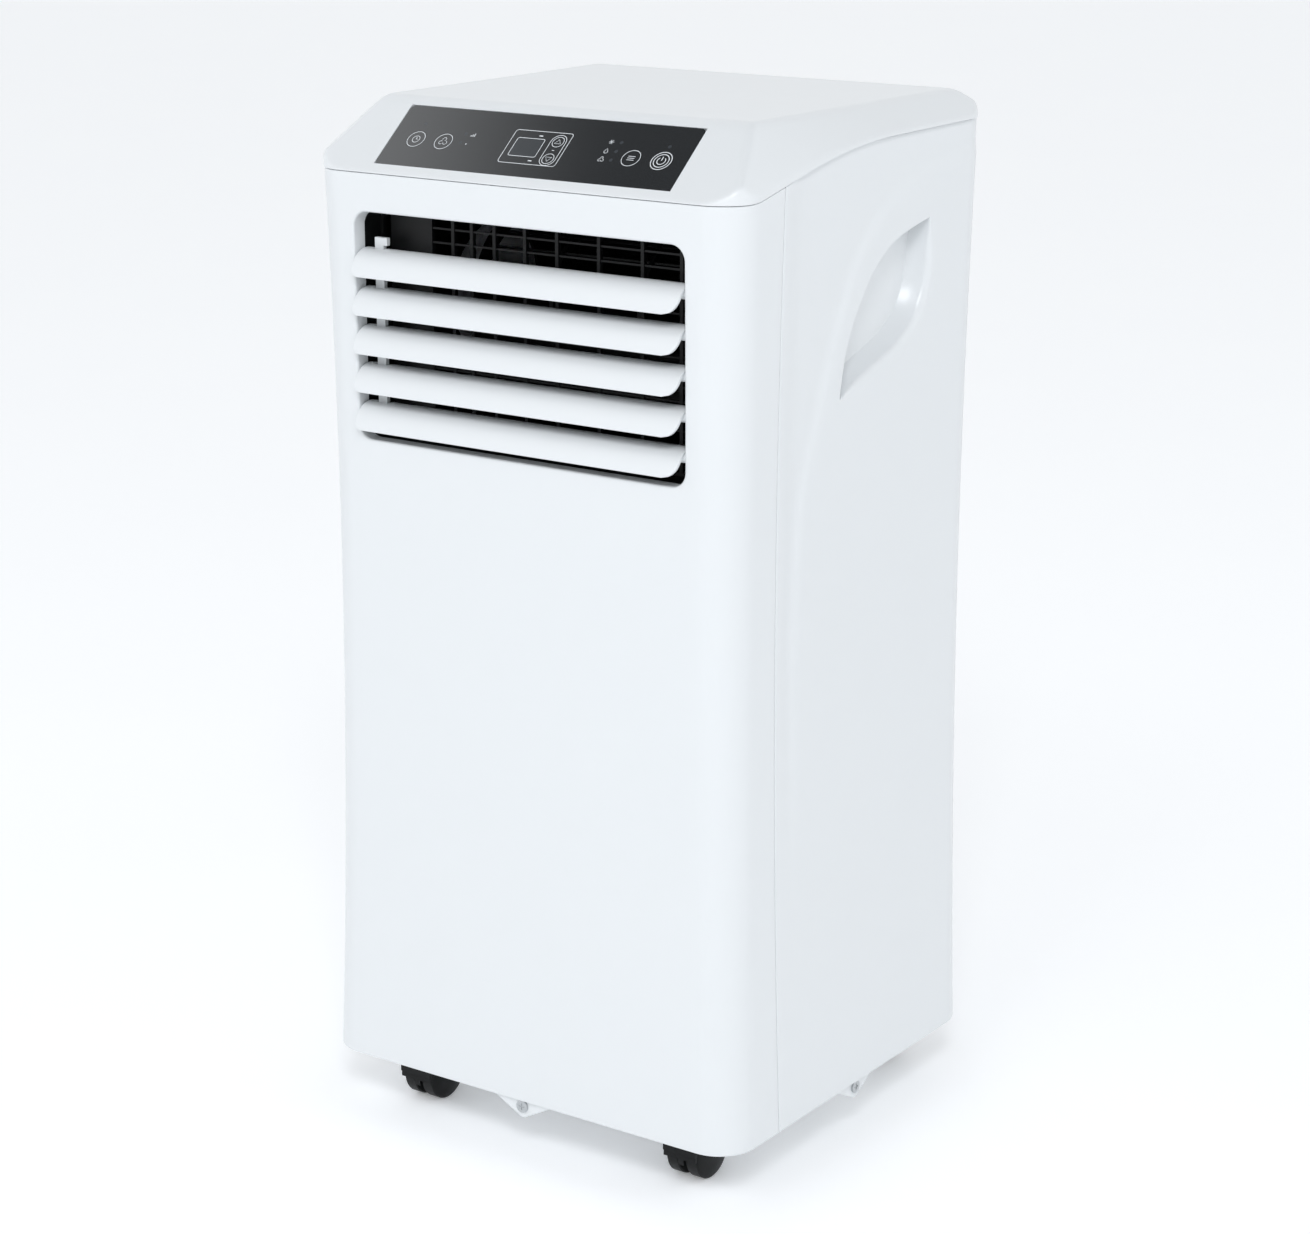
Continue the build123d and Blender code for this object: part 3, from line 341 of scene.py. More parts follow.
def ring_stack(name: str, rings: Sequence[Sequence[Point]]) -> bpy.types.Object:
    """Skins a stack of closed rings that have the same number of points, and closes both ends.

    Args:
        name: The piece's name.
        rings: The rings, in millimetres.

    Returns:
        The closed solid.
    """
    count = len(rings[0])
    piece = woven_grid(name, count, len(rings) - 1, lambda i, j: rings[j][i % count])
    edit(piece, lambda: bpy.ops.mesh.remove_doubles(threshold=CLOSE))
    edit(
        piece,
        lambda: pick_edges(piece, lambda edge: edge.is_boundary),
        lambda: bpy.ops.mesh.fill_holes(sides=0),
    )
    edit(piece, lambda: bpy.ops.mesh.normals_make_consistent(inside=False))
    return piece


def block(name: str, low: Point, high: Point, radius: float = 0.0, axis: int = 1) -> bpy.types.Object:
    """Block between two corners, its edges along one axis rounded.

    Args:
        name: The piece's name.
        low: Lowest corner in millimetres.
        high: Highest corner in millimetres.
        radius: Radius of the rounded edges.
        axis: The axis that those edges follow.

    Returns:
        The block.
    """
    deselect_all()
    middle = [(a + b) / 2 * MM for a, b in zip(low, high)]
    bpy.ops.mesh.primitive_cube_add(size=1, location=middle, scale=[(b - a) * MM for a, b in zip(low, high)])
    piece = named(name)
    most = 0.9 * (high[axis] - low[axis]) * MM

    def follows(edge: bmesh.types.BMEdge) -> bool:
        """Whether an edge follows the axis."""
        return abs((edge.verts[0].co - edge.verts[1].co)[axis]) > most

    if radius:
        edit(
            piece,
            lambda: pick_edges(piece, follows),
            lambda: bpy.ops.mesh.bevel(offset=radius * MM, segments=8, affect="EDGES", clamp_overlap=True),
        )
    return piece


def barrel(
    name: str, start: Point, end: Point, radius: float, sides: int = 32, edge: float = 0.0
) -> bpy.types.Object:
    """Round bar between two points.

    Args:
        name: The piece's name.
        start: Centre of one end, in millimetres.
        end: Centre of the other end.
        radius: Radius of the bar.
        sides: Faces round it.
        edge: Radius of its two end edges.

    Returns:
        The bar.
    """
    deselect_all()
    way = Vector(end) - Vector(start)
    bpy.ops.mesh.primitive_cylinder_add(
        vertices=sides, radius=radius * MM, depth=way.length * MM,
        location=(Vector(start) + Vector(end)) / 2 * MM, rotation=way.to_track_quat("Z", "Y").to_euler(),
    )
    piece = named(name)
    if edge:
        round_edges(piece, edge)
    return piece


# ---------------------------------------------------------------- finishes
# A mix node's sockets for colours, which share their names with those for numbers.
COLOUR_A, COLOUR_B, MIXED_COLOUR = 6, 7, 2
BRUSH_STRETCH = (1.0, 1.0, 0.06)
GRAIN_SPAN = (0.3, 0.7)


def add_node(
    tree: bpy.types.NodeTree, kind: str, inputs: dict[str | int, object] | None = None, **settings: object
) -> bpy.types.Node:
    """Adds a node, sets its options, and sets or links its inputs.

    Args:
        tree: The tree that gets the node.
        kind: The node's type name.
        inputs: A value or another node's output for each input.
        **settings: Options of the node.

    Returns:
        The node.
    """
    node = tree.nodes.new(kind)
    for key, value in settings.items():
        setattr(node, key, value)
    for key, value in (inputs or {}).items():
        if isinstance(value, bpy.types.NodeSocket):
            tree.links.new(value, node.inputs[key])
        else:
            node.inputs[key].default_value = value
    return node


def ramp(
    tree: bpy.types.NodeTree, value: bpy.types.NodeSocket, span: Flat, ends: Flat, kind: str = "LINEAR"
) -> bpy.types.NodeSocket:
    """Maps a value from one span to another.

    Args:
        tree: The tree that gets the node.
        value: What is mapped.
        span: Its lowest and highest value.
        ends: What those two become.
        kind: How the way between them is eased.

    Returns:
        The mapped value.
    """
    return add_node(
        tree, "ShaderNodeMapRange",
        {"Value": value, "From Min": span[0], "From Max": span[1], "To Min": ends[0], "To Max": ends[1]},
        interpolation_type=kind,
    ).outputs["Result"]


def mixed(
    tree: bpy.types.NodeTree, share: bpy.types.NodeSocket, first: object, second: object
) -> bpy.types.NodeSocket:
    """Mixes two colours, each a value or another node's output, by a share."""
    return add_node(
        tree, "ShaderNodeMix", {"Factor": share, COLOUR_A: first, COLOUR_B: second}, data_type="RGBA"
    ).outputs[MIXED_COLOUR]


def math_of(tree: bpy.types.NodeTree, operation: str, first: object, second: object) -> bpy.types.NodeSocket:
    """Result of an operation on two values, each a number or another node's output."""
    return add_node(tree, "ShaderNodeMath", {0: first, 1: second}, operation=operation).outputs[0]


class Pattern(Enum):
    """What covers a surface besides its fine grain."""

    PLAIN = "plain"
    # Fins and net draw dark bands of painted shade between the fins or the threads.
    FINS = "fins"
    NET = "net"
    BRUSHED = "brushed"


@dataclass(frozen=True)
class Finish:
    """One finish, with the sizes of its marks in millimetres."""

    name: str
    colour: str
    shade: str
    roughness: float
    grain: float
    grain_depth: float
    mottle: float = 60.0
    roughness_spread: float = 0.05
    metallic: float = 0.0
    ior: float = 1.5
    coat: float = 0.0
    coat_roughness: float = 0.05
    pattern: Pattern = Pattern.PLAIN
    pitch: float = 1.0

    def material(self) -> bpy.types.Material:
        """Makes the finish's node material, or gives back the one already made."""
        if self.name in bpy.data.materials:
            return bpy.data.materials[self.name]
        material = bpy.data.materials.new(self.name)
        material.use_nodes = True
        tree = material.node_tree
        shader = tree.nodes["Principled BSDF"]
        for socket, value in (("IOR", self.ior), ("Metallic", self.metallic), ("Coat Weight", self.coat),
                              ("Coat Roughness", self.coat_roughness)):
            shader.inputs[socket].default_value = value
        place = add_node(tree, "ShaderNodeTexCoord").outputs["Object"]
        slow = add_node(
            tree, "ShaderNodeTexNoise", {"Vector": place, "Scale": 1 / (self.mottle * MM), "Detail": 3.0}
        ).outputs["Fac"]
        colour = mixed(tree, slow, linear(self.colour), linear(self.shade))
        grain_place = place
        if self.pattern is Pattern.BRUSHED:
            grain_place = add_node(
                tree, "ShaderNodeMapping", {"Vector": place, "Scale": BRUSH_STRETCH}
            ).outputs["Vector"]
        grain = add_node(
            tree, "ShaderNodeTexNoise",
            {"Vector": grain_place, "Scale": 1 / (self.grain * MM), "Detail": 2.0, "Roughness": 0.6},
        ).outputs["Fac"]
        height = grain
        if self.pattern in (Pattern.FINS, Pattern.NET):
            height, *others = [
                add_node(
                    tree, "ShaderNodeTexWave", {"Vector": place, "Scale": math.pi / 10 / (self.pitch * MM)},
                    wave_type="BANDS", bands_direction=way, wave_profile="SIN",
                ).outputs["Fac"]
                for way in (("X",) if self.pattern is Pattern.FINS else ("X", "Z"))
            ]
            for other in others:
                height = math_of(tree, "MAXIMUM", height, other)
            # Where the bands dip, the dark second colour is painted shade in the gaps between fins or
            # threads; elsewhere the same colour only gives the random mottle.
            colour = mixed(tree, height, linear(self.shade), colour)
        spread = self.roughness_spread
        rough = ramp(tree, grain, GRAIN_SPAN, (self.roughness - spread, self.roughness + spread))
        bump = add_node(
            tree, "ShaderNodeBump", {"Height": height, "Strength": 1.0, "Distance": self.grain_depth * MM}
        ).outputs["Normal"]
        tree.links.new(colour, shader.inputs["Base Color"])
        tree.links.new(rough, shader.inputs["Roughness"])
        tree.links.new(bump, shader.inputs["Normal"])
        return material

    def dress(self, piece: bpy.types.Object) -> None:
        """Puts the finish on every material slot of a piece."""
        if not piece.material_slots:
            piece.data.materials.append(self.material())
        for slot in piece.material_slots:
            slot.material = self.material()


class Finishes(Enum):
    """Finishes of the object, each named for its real material."""

    # ABS moulded in a polished tool: even, cool white with a soft gloss.
    WHITE_ABS = Finish("white_abs_moulded", "#d9dcde", "#d8dbdd", 0.28, 12.0, 0.0, 60.0, 0.004)
    # The same ABS on small inner parts, a little duller.
    WHITE_ABS_SMALL = Finish("white_abs_small_mouldings", "#dcdee1", "#d6d9dc", 0.38, 1.0, 0.002)
    # Polycarbonate sheet printed black on its back, so the colour lies under a clear gloss.
    BACK_PRINTED = Finish("polycarbonate_back_printed", "#14171a", "#191c1f", 0.09, 0.8, 0.0004, 60.0, 0.01,
                          coat=1.0)
    PRINT_INK = Finish("screen_ink_white", "#e4e7ea", "#d6dade", 0.5, 0.3, 0.002)
    # Liquid-crystal window, unlit: a grey-green pane a little paler than the strip.
    DISPLAY = Finish("display_pane_unlit", "#2f3438", "#272b2f", 0.12, 0.6, 0.001, coat=0.8)
    LIGHT_PIPE = Finish("acrylic_light_pipe_unlit", "#3a3f44", "#2c3035", 0.15, 0.4, 0.002, coat=0.5)
    # Black ABS with a fine spark-eroded texture inside the outlet.
    BLACK_ABS = Finish("black_abs_textured", "#0c0d0e", "#121314", 0.42, 0.5, 0.02, ior=1.35)
    # Glass-filled nylon: dark grey with a satin skin and faint flow marks.
    CASTER_NYLON = Finish("caster_nylon_satin", "#101112", "#0c0d0e", 0.5, 0.6, 0.015, 14.0, ior=1.3)
    WHEEL_NYLON = Finish("wheel_nylon_satin", "#0f1011", "#0b0c0d", 0.46, 0.6, 0.012, 10.0, ior=1.3)
    # Bright zinc plate: pale metal with short scratches.
    ZINC = Finish("zinc_plated_steel", "#c9cbcc", "#aeb2b5", 0.30, 0.5, 0.006, 6.0, 0.1, 1.0,
                  pattern=Pattern.BRUSHED)
    FILTER_ABS = Finish("filter_grille_abs", "#e6e9ec", "#dde1e5", 0.42, 0.8, 0.012)
    # Woven nylon net, its threads drawn 1.6 mm apart so that they show; the near-black between the threads is
    # painted shade of the dark inside behind the net.
    FILTER_NET = Finish("filter_net_nylon", "#6a6f74", "#1c1e20", 0.6, 0.5, 0.25, pattern=Pattern.NET,
                        pitch=1.6)
    COMPRESSOR = Finish("stoved_black_paint", "#0f1011", "#18191b", 0.35, 1.2, 0.03)
    COPPER = Finish("drawn_copper_tube", "#c9794f", "#a65d3c", 0.32, 0.8, 0.01, 12.0, 0.08, 1.0)
    # Aluminium fins on copper tubes, drawn 2 mm apart so that they show; the dark grey between the fins is
    # painted shade in the gaps.
    COIL = Finish("aluminium_fin_pack", "#c4c8cc", "#4a4e52", 0.38, 0.8, 0.8, 30.0, 0.08, 0.9,
                  pattern=Pattern.FINS, pitch=2.0)
    RUBBER = Finish("black_rubber_moulded", "#161617", "#1e1e1f", 0.72, 0.7, 0.03)
    BOARD = Finish("glass_fibre_board", "#1d4f33", "#17422a", 0.35, 0.4, 0.02)
    PRESSED_STEEL = Finish("pressed_steel_plated", "#9a9da0", "#85898c", 0.36, 0.7, 0.012, 20.0, 0.1, 1.0,
                           pattern=Pattern.BRUSHED)


SLOT_FINISHES = {
    "white_abs": Finishes.WHITE_ABS,
    "fascia_black": Finishes.BACK_PRINTED,
    "window_clear": Finishes.DISPLAY,
    "light_pipe": Finishes.LIGHT_PIPE,
    "black_abs": Finishes.BLACK_ABS,
    "caster_nylon": Finishes.CASTER_NYLON,
    "wheel_nylon": Finishes.WHEEL_NYLON,
    "zinc_steel": Finishes.ZINC,
    "filter_white": Finishes.FILTER_ABS,
    "filter_net": Finishes.FILTER_NET,
    "compressor_black": Finishes.COMPRESSOR,
    "copper": Finishes.COPPER,
    "coil_fins": Finishes.COIL,
    "rubber_black": Finishes.RUBBER,
    "board_green": Finishes.BOARD,
    "motor_steel": Finishes.PRESSED_STEEL,
}


# ---------------------------------------------------------------- housing
@dataclass(frozen=True)
class HousingForm:
    """Waisted form that the front panel, the rear casing and the top cover share."""

    half_widths: tuple[Flat, Flat, Flat] = ((168.0, 40.0), (161.2, 300.0), (164.7, 647.0))
    fronts: tuple[Flat, Flat, Flat] = ((156.0, 40.0), (151.6, 300.0), (153.0, 647.0))
    back_low: float = 151.0
    back_high: float = 156.0
    low: float = 40.0
    seam_front: float = 647.0
    seam_bends: tuple[Flat, Flat] = ((-131.0, 647.0), (-20.6, 671.3))
    seam_end: Flat = (156.0, 673.1)
    seam_radii: Flat = (83.0, 500.0)
    gap: float = 0.5
    front_radius: float = 27.0
    back_radius: float = 30.0
    split: float = 99.0
    wall: float = 2.5
    edge: float = 0.7
    rear_level: float = 20.0

    @staticmethod
    def _arc(points: tuple[Flat, Flat, Flat], z: float) -> float:
        """Distance from the middle at a height, on the arc through three points."""
        (x, middle), radius = circle_through(*points)
        return x - math.sqrt(radius**2 - (z - middle) ** 2)

    def half_width(self, z: float) -> float:
        """Half of the width at a height."""
        return self._arc(self.half_widths, z)

    def front(self, z: float) -> float:
        """Distance from the middle to the front face at a height."""
        return self._arc(self.fronts, z)

    def back(self, z: float) -> float:
        """Distance from the middle to the back face at a height."""
        share = (z - self.low) / (self.seam_front - self.low)
        return self.back_low + (self.back_high - self.back_low) * share

    def seam(self, y: float) -> float:
        """Height of the top cover's seam at a place from front to back."""
        (y1, z1), (y2, z2) = self.seam_bends
        slopes = (0.0, (z2 - z1) / (y2 - y1), (self.seam_end[1] - z2) / (self.seam_end[0] - y2))
        height = z1 + max(y - y1, 0.0) * slopes[1] + max(y - y2, 0.0) * (slopes[2] - slopes[1])
        for bend, before, after, radius in ((y1, slopes[0], slopes[1], self.seam_radii[0]),
                                            (y2, slopes[1], slopes[2], self.seam_radii[1])):
            reach = radius * math.tan(abs(math.atan(after) - math.atan(before)) / 2)
            if abs(y - bend) < reach:
                eased = (after - before) * (y - bend + reach) ** 2 / (4 * reach)
                height += eased - max(y - bend, 0.0) * (after - before)
        return height

    def wrap(self, z: float, way: int, steps: Counts) -> list[Flat]:
        """Outline from the right side seam round the front or the back to the left one.

        Args:
            z: Height.
            way: -1 round the front, 1 round the back.
            steps: Steps along a side, round a corner and across.

        Returns:
            Points of the outline, both ends included.
        """
        wide = self.half_width(z)
        depth, radius = (self.back(z), self.back_radius) if way > 0 else (self.front(z), self.front_radius)
        along, corner, across = steps
        start, end = -self.split + way * self.gap / 2, way * (depth - radius)
        side = [(wide, start + (end - start) * i / along) for i in range(along)]
        half = side + arc_of((wide - radius, end), radius, 0, way * 90, corner + 1)[:-1]
        run = wide - radius
        middle = [(run - 2 * run * i / across, way * depth) for i in range(across + 1)]
        return half + middle + [(-x, y) for x, y in reversed(half)]

    def skin(
        self, name: str, way: int, steps: Counts, rows: int, sunk: Callable[[float, float], float]
    ) -> bpy.types.Object:
        """Walled skin of the front or the rear casing, up to the top cover's seam.

        Args:
            name: The piece's name.
            way: -1 for the front, 1 for the rear.
            steps: Steps along a side, round a corner and across.
            rows: Steps from bottom to top.
            sunk: Gives how far a side lies inside the form, at a place along Y and a height.

        Returns:
            The skin, its edges rounded.
        """
        level = self.seam_front + (self.rear_level if way > 0 else 0.0)
        tops = [self.seam(y) - self.gap / 2 for _, y in self.wrap(level, way, steps)]

        def place(column: int, row: int) -> Point:
            """Point of the skin."""
            z = self.low + (tops[column] - self.low) * row / rows
            x, y = self.wrap(z, way, steps)[column]
            return (x - math.copysign(sunk(y, z), x), y, z)

        piece = woven_grid(name, len(tops) - 1, rows, place)
        face_from(piece, (0, 0, 300))
        thicken(piece, self.wall)
        round_edges(piece, self.edge)
        return piece


@dataclass(frozen=True)
class SideRelief:
    """Soft crest on each side: the face ahead of it and above it lies a little lower."""

    crest: tuple[Flat, ...] = (
        (-77.0, 171.0), (-76.7, 227.0), (-77.0, 301.0), (-77.5, 337.6), (-77.3, 373.6), (-75.6, 416.0),
        (-71.0, 450.5), (-61.0, 484.0), (-49.4, 513.0), (-38.0, 542.6), (-23.5, 575.0), (-5.5, 604.0),
        (16.6, 623.6), (43.0, 636.0), (77.0, 645.0), (112.0, 650.0), (150.0, 654.0),
    )
    depth: float = 2.6
    softness: float = 9.0
    ramp_start: float = -99.0
    ramp: float = 26.0
    fade_low: float = 150.0
    fade: float = 260.0

    def __post_init__(self) -> None:
        """Spreads points along the crest for quick measuring."""
        object.__setattr__(self, "_line", through_points(self.crest, 240))

    def at(self, y: float, z: float) -> float:
        """Depth of the lower face at a place on the side.

        Args:
            y: Place from front to back.
            z: Height.

        Returns:
            How far the face lies below the form, in millimetres.
        """
        line = self._line
        near = min(range(len(line)), key=lambda i: (line[i][0] - y) ** 2 + (line[i][1] - z) ** 2)
        a, b = line[max(near - 1, 0)], line[min(near + 1, len(line) - 1)]
        along = Vector((b[0] - a[0], b[1] - a[1])).normalized()
        ahead = along.x * (z - line[near][1]) - along.y * (y - line[near][0])
        step = smooth_step(0.5 + ahead / self.softness)
        rise = smooth_step((y - self.ramp_start) / self.ramp)
        return self.depth * step * rise * smooth_step((z - self.fade_low) / self.fade)


@dataclass
class FrontPanel:
    """Front casing, with the air outlet and its inward lip."""

    form: HousingForm
    rows: int = 118
    steps: Counts = (8, 16, 56)
    flare: float = 1.6
    flare_turns: tuple[float, ...] = (22.0, 45.0, 68.0, 90.0)
    mouth: tuple[Flat, Flat] = ((-4.0, 2.2), (-0.02, 1.6))
    lip: float = 2.2
    lip_start: float = 1.2
    lip_back: float = 141.5
    cut_back: float = 121.5
    flat_below: float = -100.0
    outlet_half: float = 127.6
    outlet_heights: Flat = (474.0, 622.0)
    outlet_corner: float = 10.0
    outlet_counts: Counts = (40, 24, 12)

    def outlet_rings(self, layers: Iterable[tuple[float, float]]) -> list[list[Point]]:
        """Rings of the outlet's outline.

        Args:
            layers: Distance behind the front face, or a place along Y if it is far below zero, and
                growth, for each ring.

        Returns:
            The rings, each following the front face or lying in its own plane.
        """
        rings = []
        for depth, growth in layers:
            wide = self.outlet_half + growth
            outline = rounded_rectangle(
                (-wide, wide), (self.outlet_heights[0] - growth, self.outlet_heights[1] + growth),
                (self.outlet_corner + growth, self.outlet_corner + growth), self.outlet_counts,
            )
            flat = depth < self.flat_below
            rings.append([(x, depth if flat else depth - self.form.front(z), z) for x, z in outline])
        return rings

    def build(self) -> bpy.types.Object:
        """Builds the panel with its outlet."""
        piece = self.form.skin("front_panel_skin", -1, self.steps, self.rows, lambda y, z: 0.0)
        collar = self.outlet_rings(((self.lip_start, self.lip), (-self.lip_back, self.lip)))
        combine(piece, ring_stack("outlet_collar", collar), "UNION")
        turns = [math.radians(a) for a in self.flare_turns]
        round_in = [(self.flare * (1 - math.cos(a)), self.flare * (1 - math.sin(a))) for a in turns]
        cutter = self.outlet_rings([*self.mouth, *round_in, (-self.cut_back, 0.0)])
        combine(piece, ring_stack("outlet_cutter", cutter), "DIFFERENCE")
        piece.name = piece.data.name = "front_panel_moulding"
        return piece


@dataclass
class RearCasing:
    """Rear casing: both sides and the back, with hand grips, filter openings and the exhaust opening."""

    form: HousingForm
    relief: SideRelief = field(default_factory=SideRelief)
    rows: int = 140
    steps: Counts = (54, 14, 30)
    grip_arch: tuple[Flat, ...] = (
        (76.4, 614.6), (53.0, 610.0), (34.0, 604.6), (20.0, 596.7), (7.0, 586.7), (-3.0, 574.5),
        (-11.6, 562.0), (-20.0, 546.0), (-25.0, 529.0), (-28.0, 512.0),
    )
    grip_sill: tuple[Flat, ...] = (
        (-28.0, 512.0), (-9.0, 519.7), (17.0, 528.3), (39.0, 535.7), (54.0, 543.4), (66.0, 552.6),
        (74.0, 565.6), (77.6, 579.0), (78.6, 596.0), (76.4, 614.6),
    )
    grip_points: int = 44
    grip_reach: int = 7
    grip_turns: tuple[float, ...] = (12.0, 26.0, 40.0, 55.0, 72.0, 90.0)
    grip_depth: float = 16.0
    sill_round: float = 6.0
    arch_round: float = 0.7
    sill_draft: float = 4.5
    floor_round: float = 3.0
    filter_gap: float = 0.5
    filter_corner: float = 6.0
    filter_depth: float = 9.5
    seat_wall: float = 3.0
    seat_start: float = 1.4
    seat_past: float = 3.0
    seat_ledge: float = 6.0
    ledge_past: float = 8.0
    outside: float = -5.0
    exhaust_radius: float = 70.5
    exhaust_cut: Flat = (130.0, 170.0)
    exhaust_sides: int = 128

    def side_face(self, y: float, z: float) -> float:
        """Distance from the middle to the right side's face."""
        return self.form.half_width(z) - self.relief.at(y, z)

    def sunk(self, y: float, z: float) -> float:
        """Depth of the relief at a place, fading out round the back corner."""
        return self.relief.at(y, z) * smooth_step((self.form.back(z) - y) / self.form.back_radius)

    def grip_rings(self, layers: Sequence[tuple[Flat, Flat]], side: int) -> list[list[Point]]:
        """Rings of a hand grip.

        Args:
            layers: For each ring, the depth and growth at the arch, and those at the sill.
            side: 1 for the right side, -1 for the left one.

        Returns:
            The rings, measured inwards from the side's face.
        """
        count = self.grip_points
        arch = through_points(self.grip_arch, count)
        sill = through_points(self.grip_sill, count)
        outline = arch[:-1] + sill[:-1]
        reach = self.grip_reach
        shares = [0.0] * (count - 1)
        shares += [smooth_step(min(i, count - 1 - i) / reach) for i in range(count - 1)]
        rings = []
        for (arch_depth, arch_growth), (sill_depth, sill_growth) in layers:
            growths = [arch_growth + (sill_growth - arch_growth) * s for s in shares]
            depths = [arch_depth + (sill_depth - arch_depth) * s for s in shares]
            points = grown(outline, growths)
            rings.append([(side * (self.side_face(y, z) - d), y, z) for (y, z), d in zip(points, depths)])
        return rings

    def grips(self, piece: bpy.types.Object) -> None:
        """Adds the cups of both hand grips and hollows them."""
        deep, sill, arch = self.grip_depth, self.sill_round, self.arch_round
        turns = [math.radians(a) for a in self.grip_turns]
        mouth = [((arch * (1 - math.cos(a)), arch * (1 - math.sin(a))),
                  (sill * (1 - math.cos(a)), sill * (1 - math.sin(a)) - 0.5)) for a in turns]
        foot = [((deep - 3, -0.2), (deep - self.floor_round, -self.sill_draft)),
                ((deep - 0.6, -0.9), (deep - 0.9, -self.sill_draft - 1.2)),
                ((deep, -2.5), (deep, -self.sill_draft - self.floor_round - 1))]
        hollow = [((-3.0, arch + 0.3), (-3.0, sill + 0.6)), ((-0.02, arch), (-0.02, sill - 0.5)),
                  *mouth, *foot]
        cup = [((1.0, 4.0), (1.0, 9.5)), ((8.0, 3.5), (8.0, 4.0)), ((deep + 2.5, 2.0), (deep + 2.5, -1.5))]
        for side in (1, -1):
            combine(piece, ring_stack("grip_cup", self.grip_rings(cup, side)), "UNION")
            combine(piece, ring_stack("grip_hollow", self.grip_rings(hollow, side)), "DIFFERENCE")

    def filter_blocks(self, growth: float, near: float, far: float) -> bpy.types.Object:
        """Blocks on both filters' outlines, grown, between two depths behind the back face."""
        blocks = []
        for which in ("upper", "lower"):
            low, high = (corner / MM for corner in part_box(f"{which}_filter_frame"))
            back = self.form.back((low.z + high.z) / 2)
            blocks.append(block(
                f"{which}_filter_block", (low.x - growth, back - far, low.z - growth),
                (high.x + growth, back - near, high.z + growth), self.filter_corner + max(growth, 0),
            ))
        return joined(blocks, "filter_blocks")

    def build(self) -> bpy.types.Object:
        """Builds the casing with all its openings."""
        piece = self.form.skin("rear_casing_skin", 1, self.steps, self.rows, self.sunk)
        self.grips(piece)
        deep = self.filter_depth
        for growth, near, far, operation in (
            (self.seat_wall, self.seat_start, deep + self.seat_past, "UNION"),
            (self.filter_gap, self.outside, deep, "DIFFERENCE"),
            (-self.seat_ledge, self.outside, deep + self.ledge_past, "DIFFERENCE"),
        ):
            combine(piece, self.filter_blocks(growth, near, far), operation)
        low, high = (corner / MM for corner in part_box("exhaust_collar"))
        ends = [(0, y, (low.z + high.z) / 2) for y in self.exhaust_cut]
        cutter = barrel("exhaust_cutter", *ends, self.exhaust_radius, self.exhaust_sides)
        combine(piece, cutter, "DIFFERENCE")
        piece.name = piece.data.name = "rear_casing_moulding"
        return piece


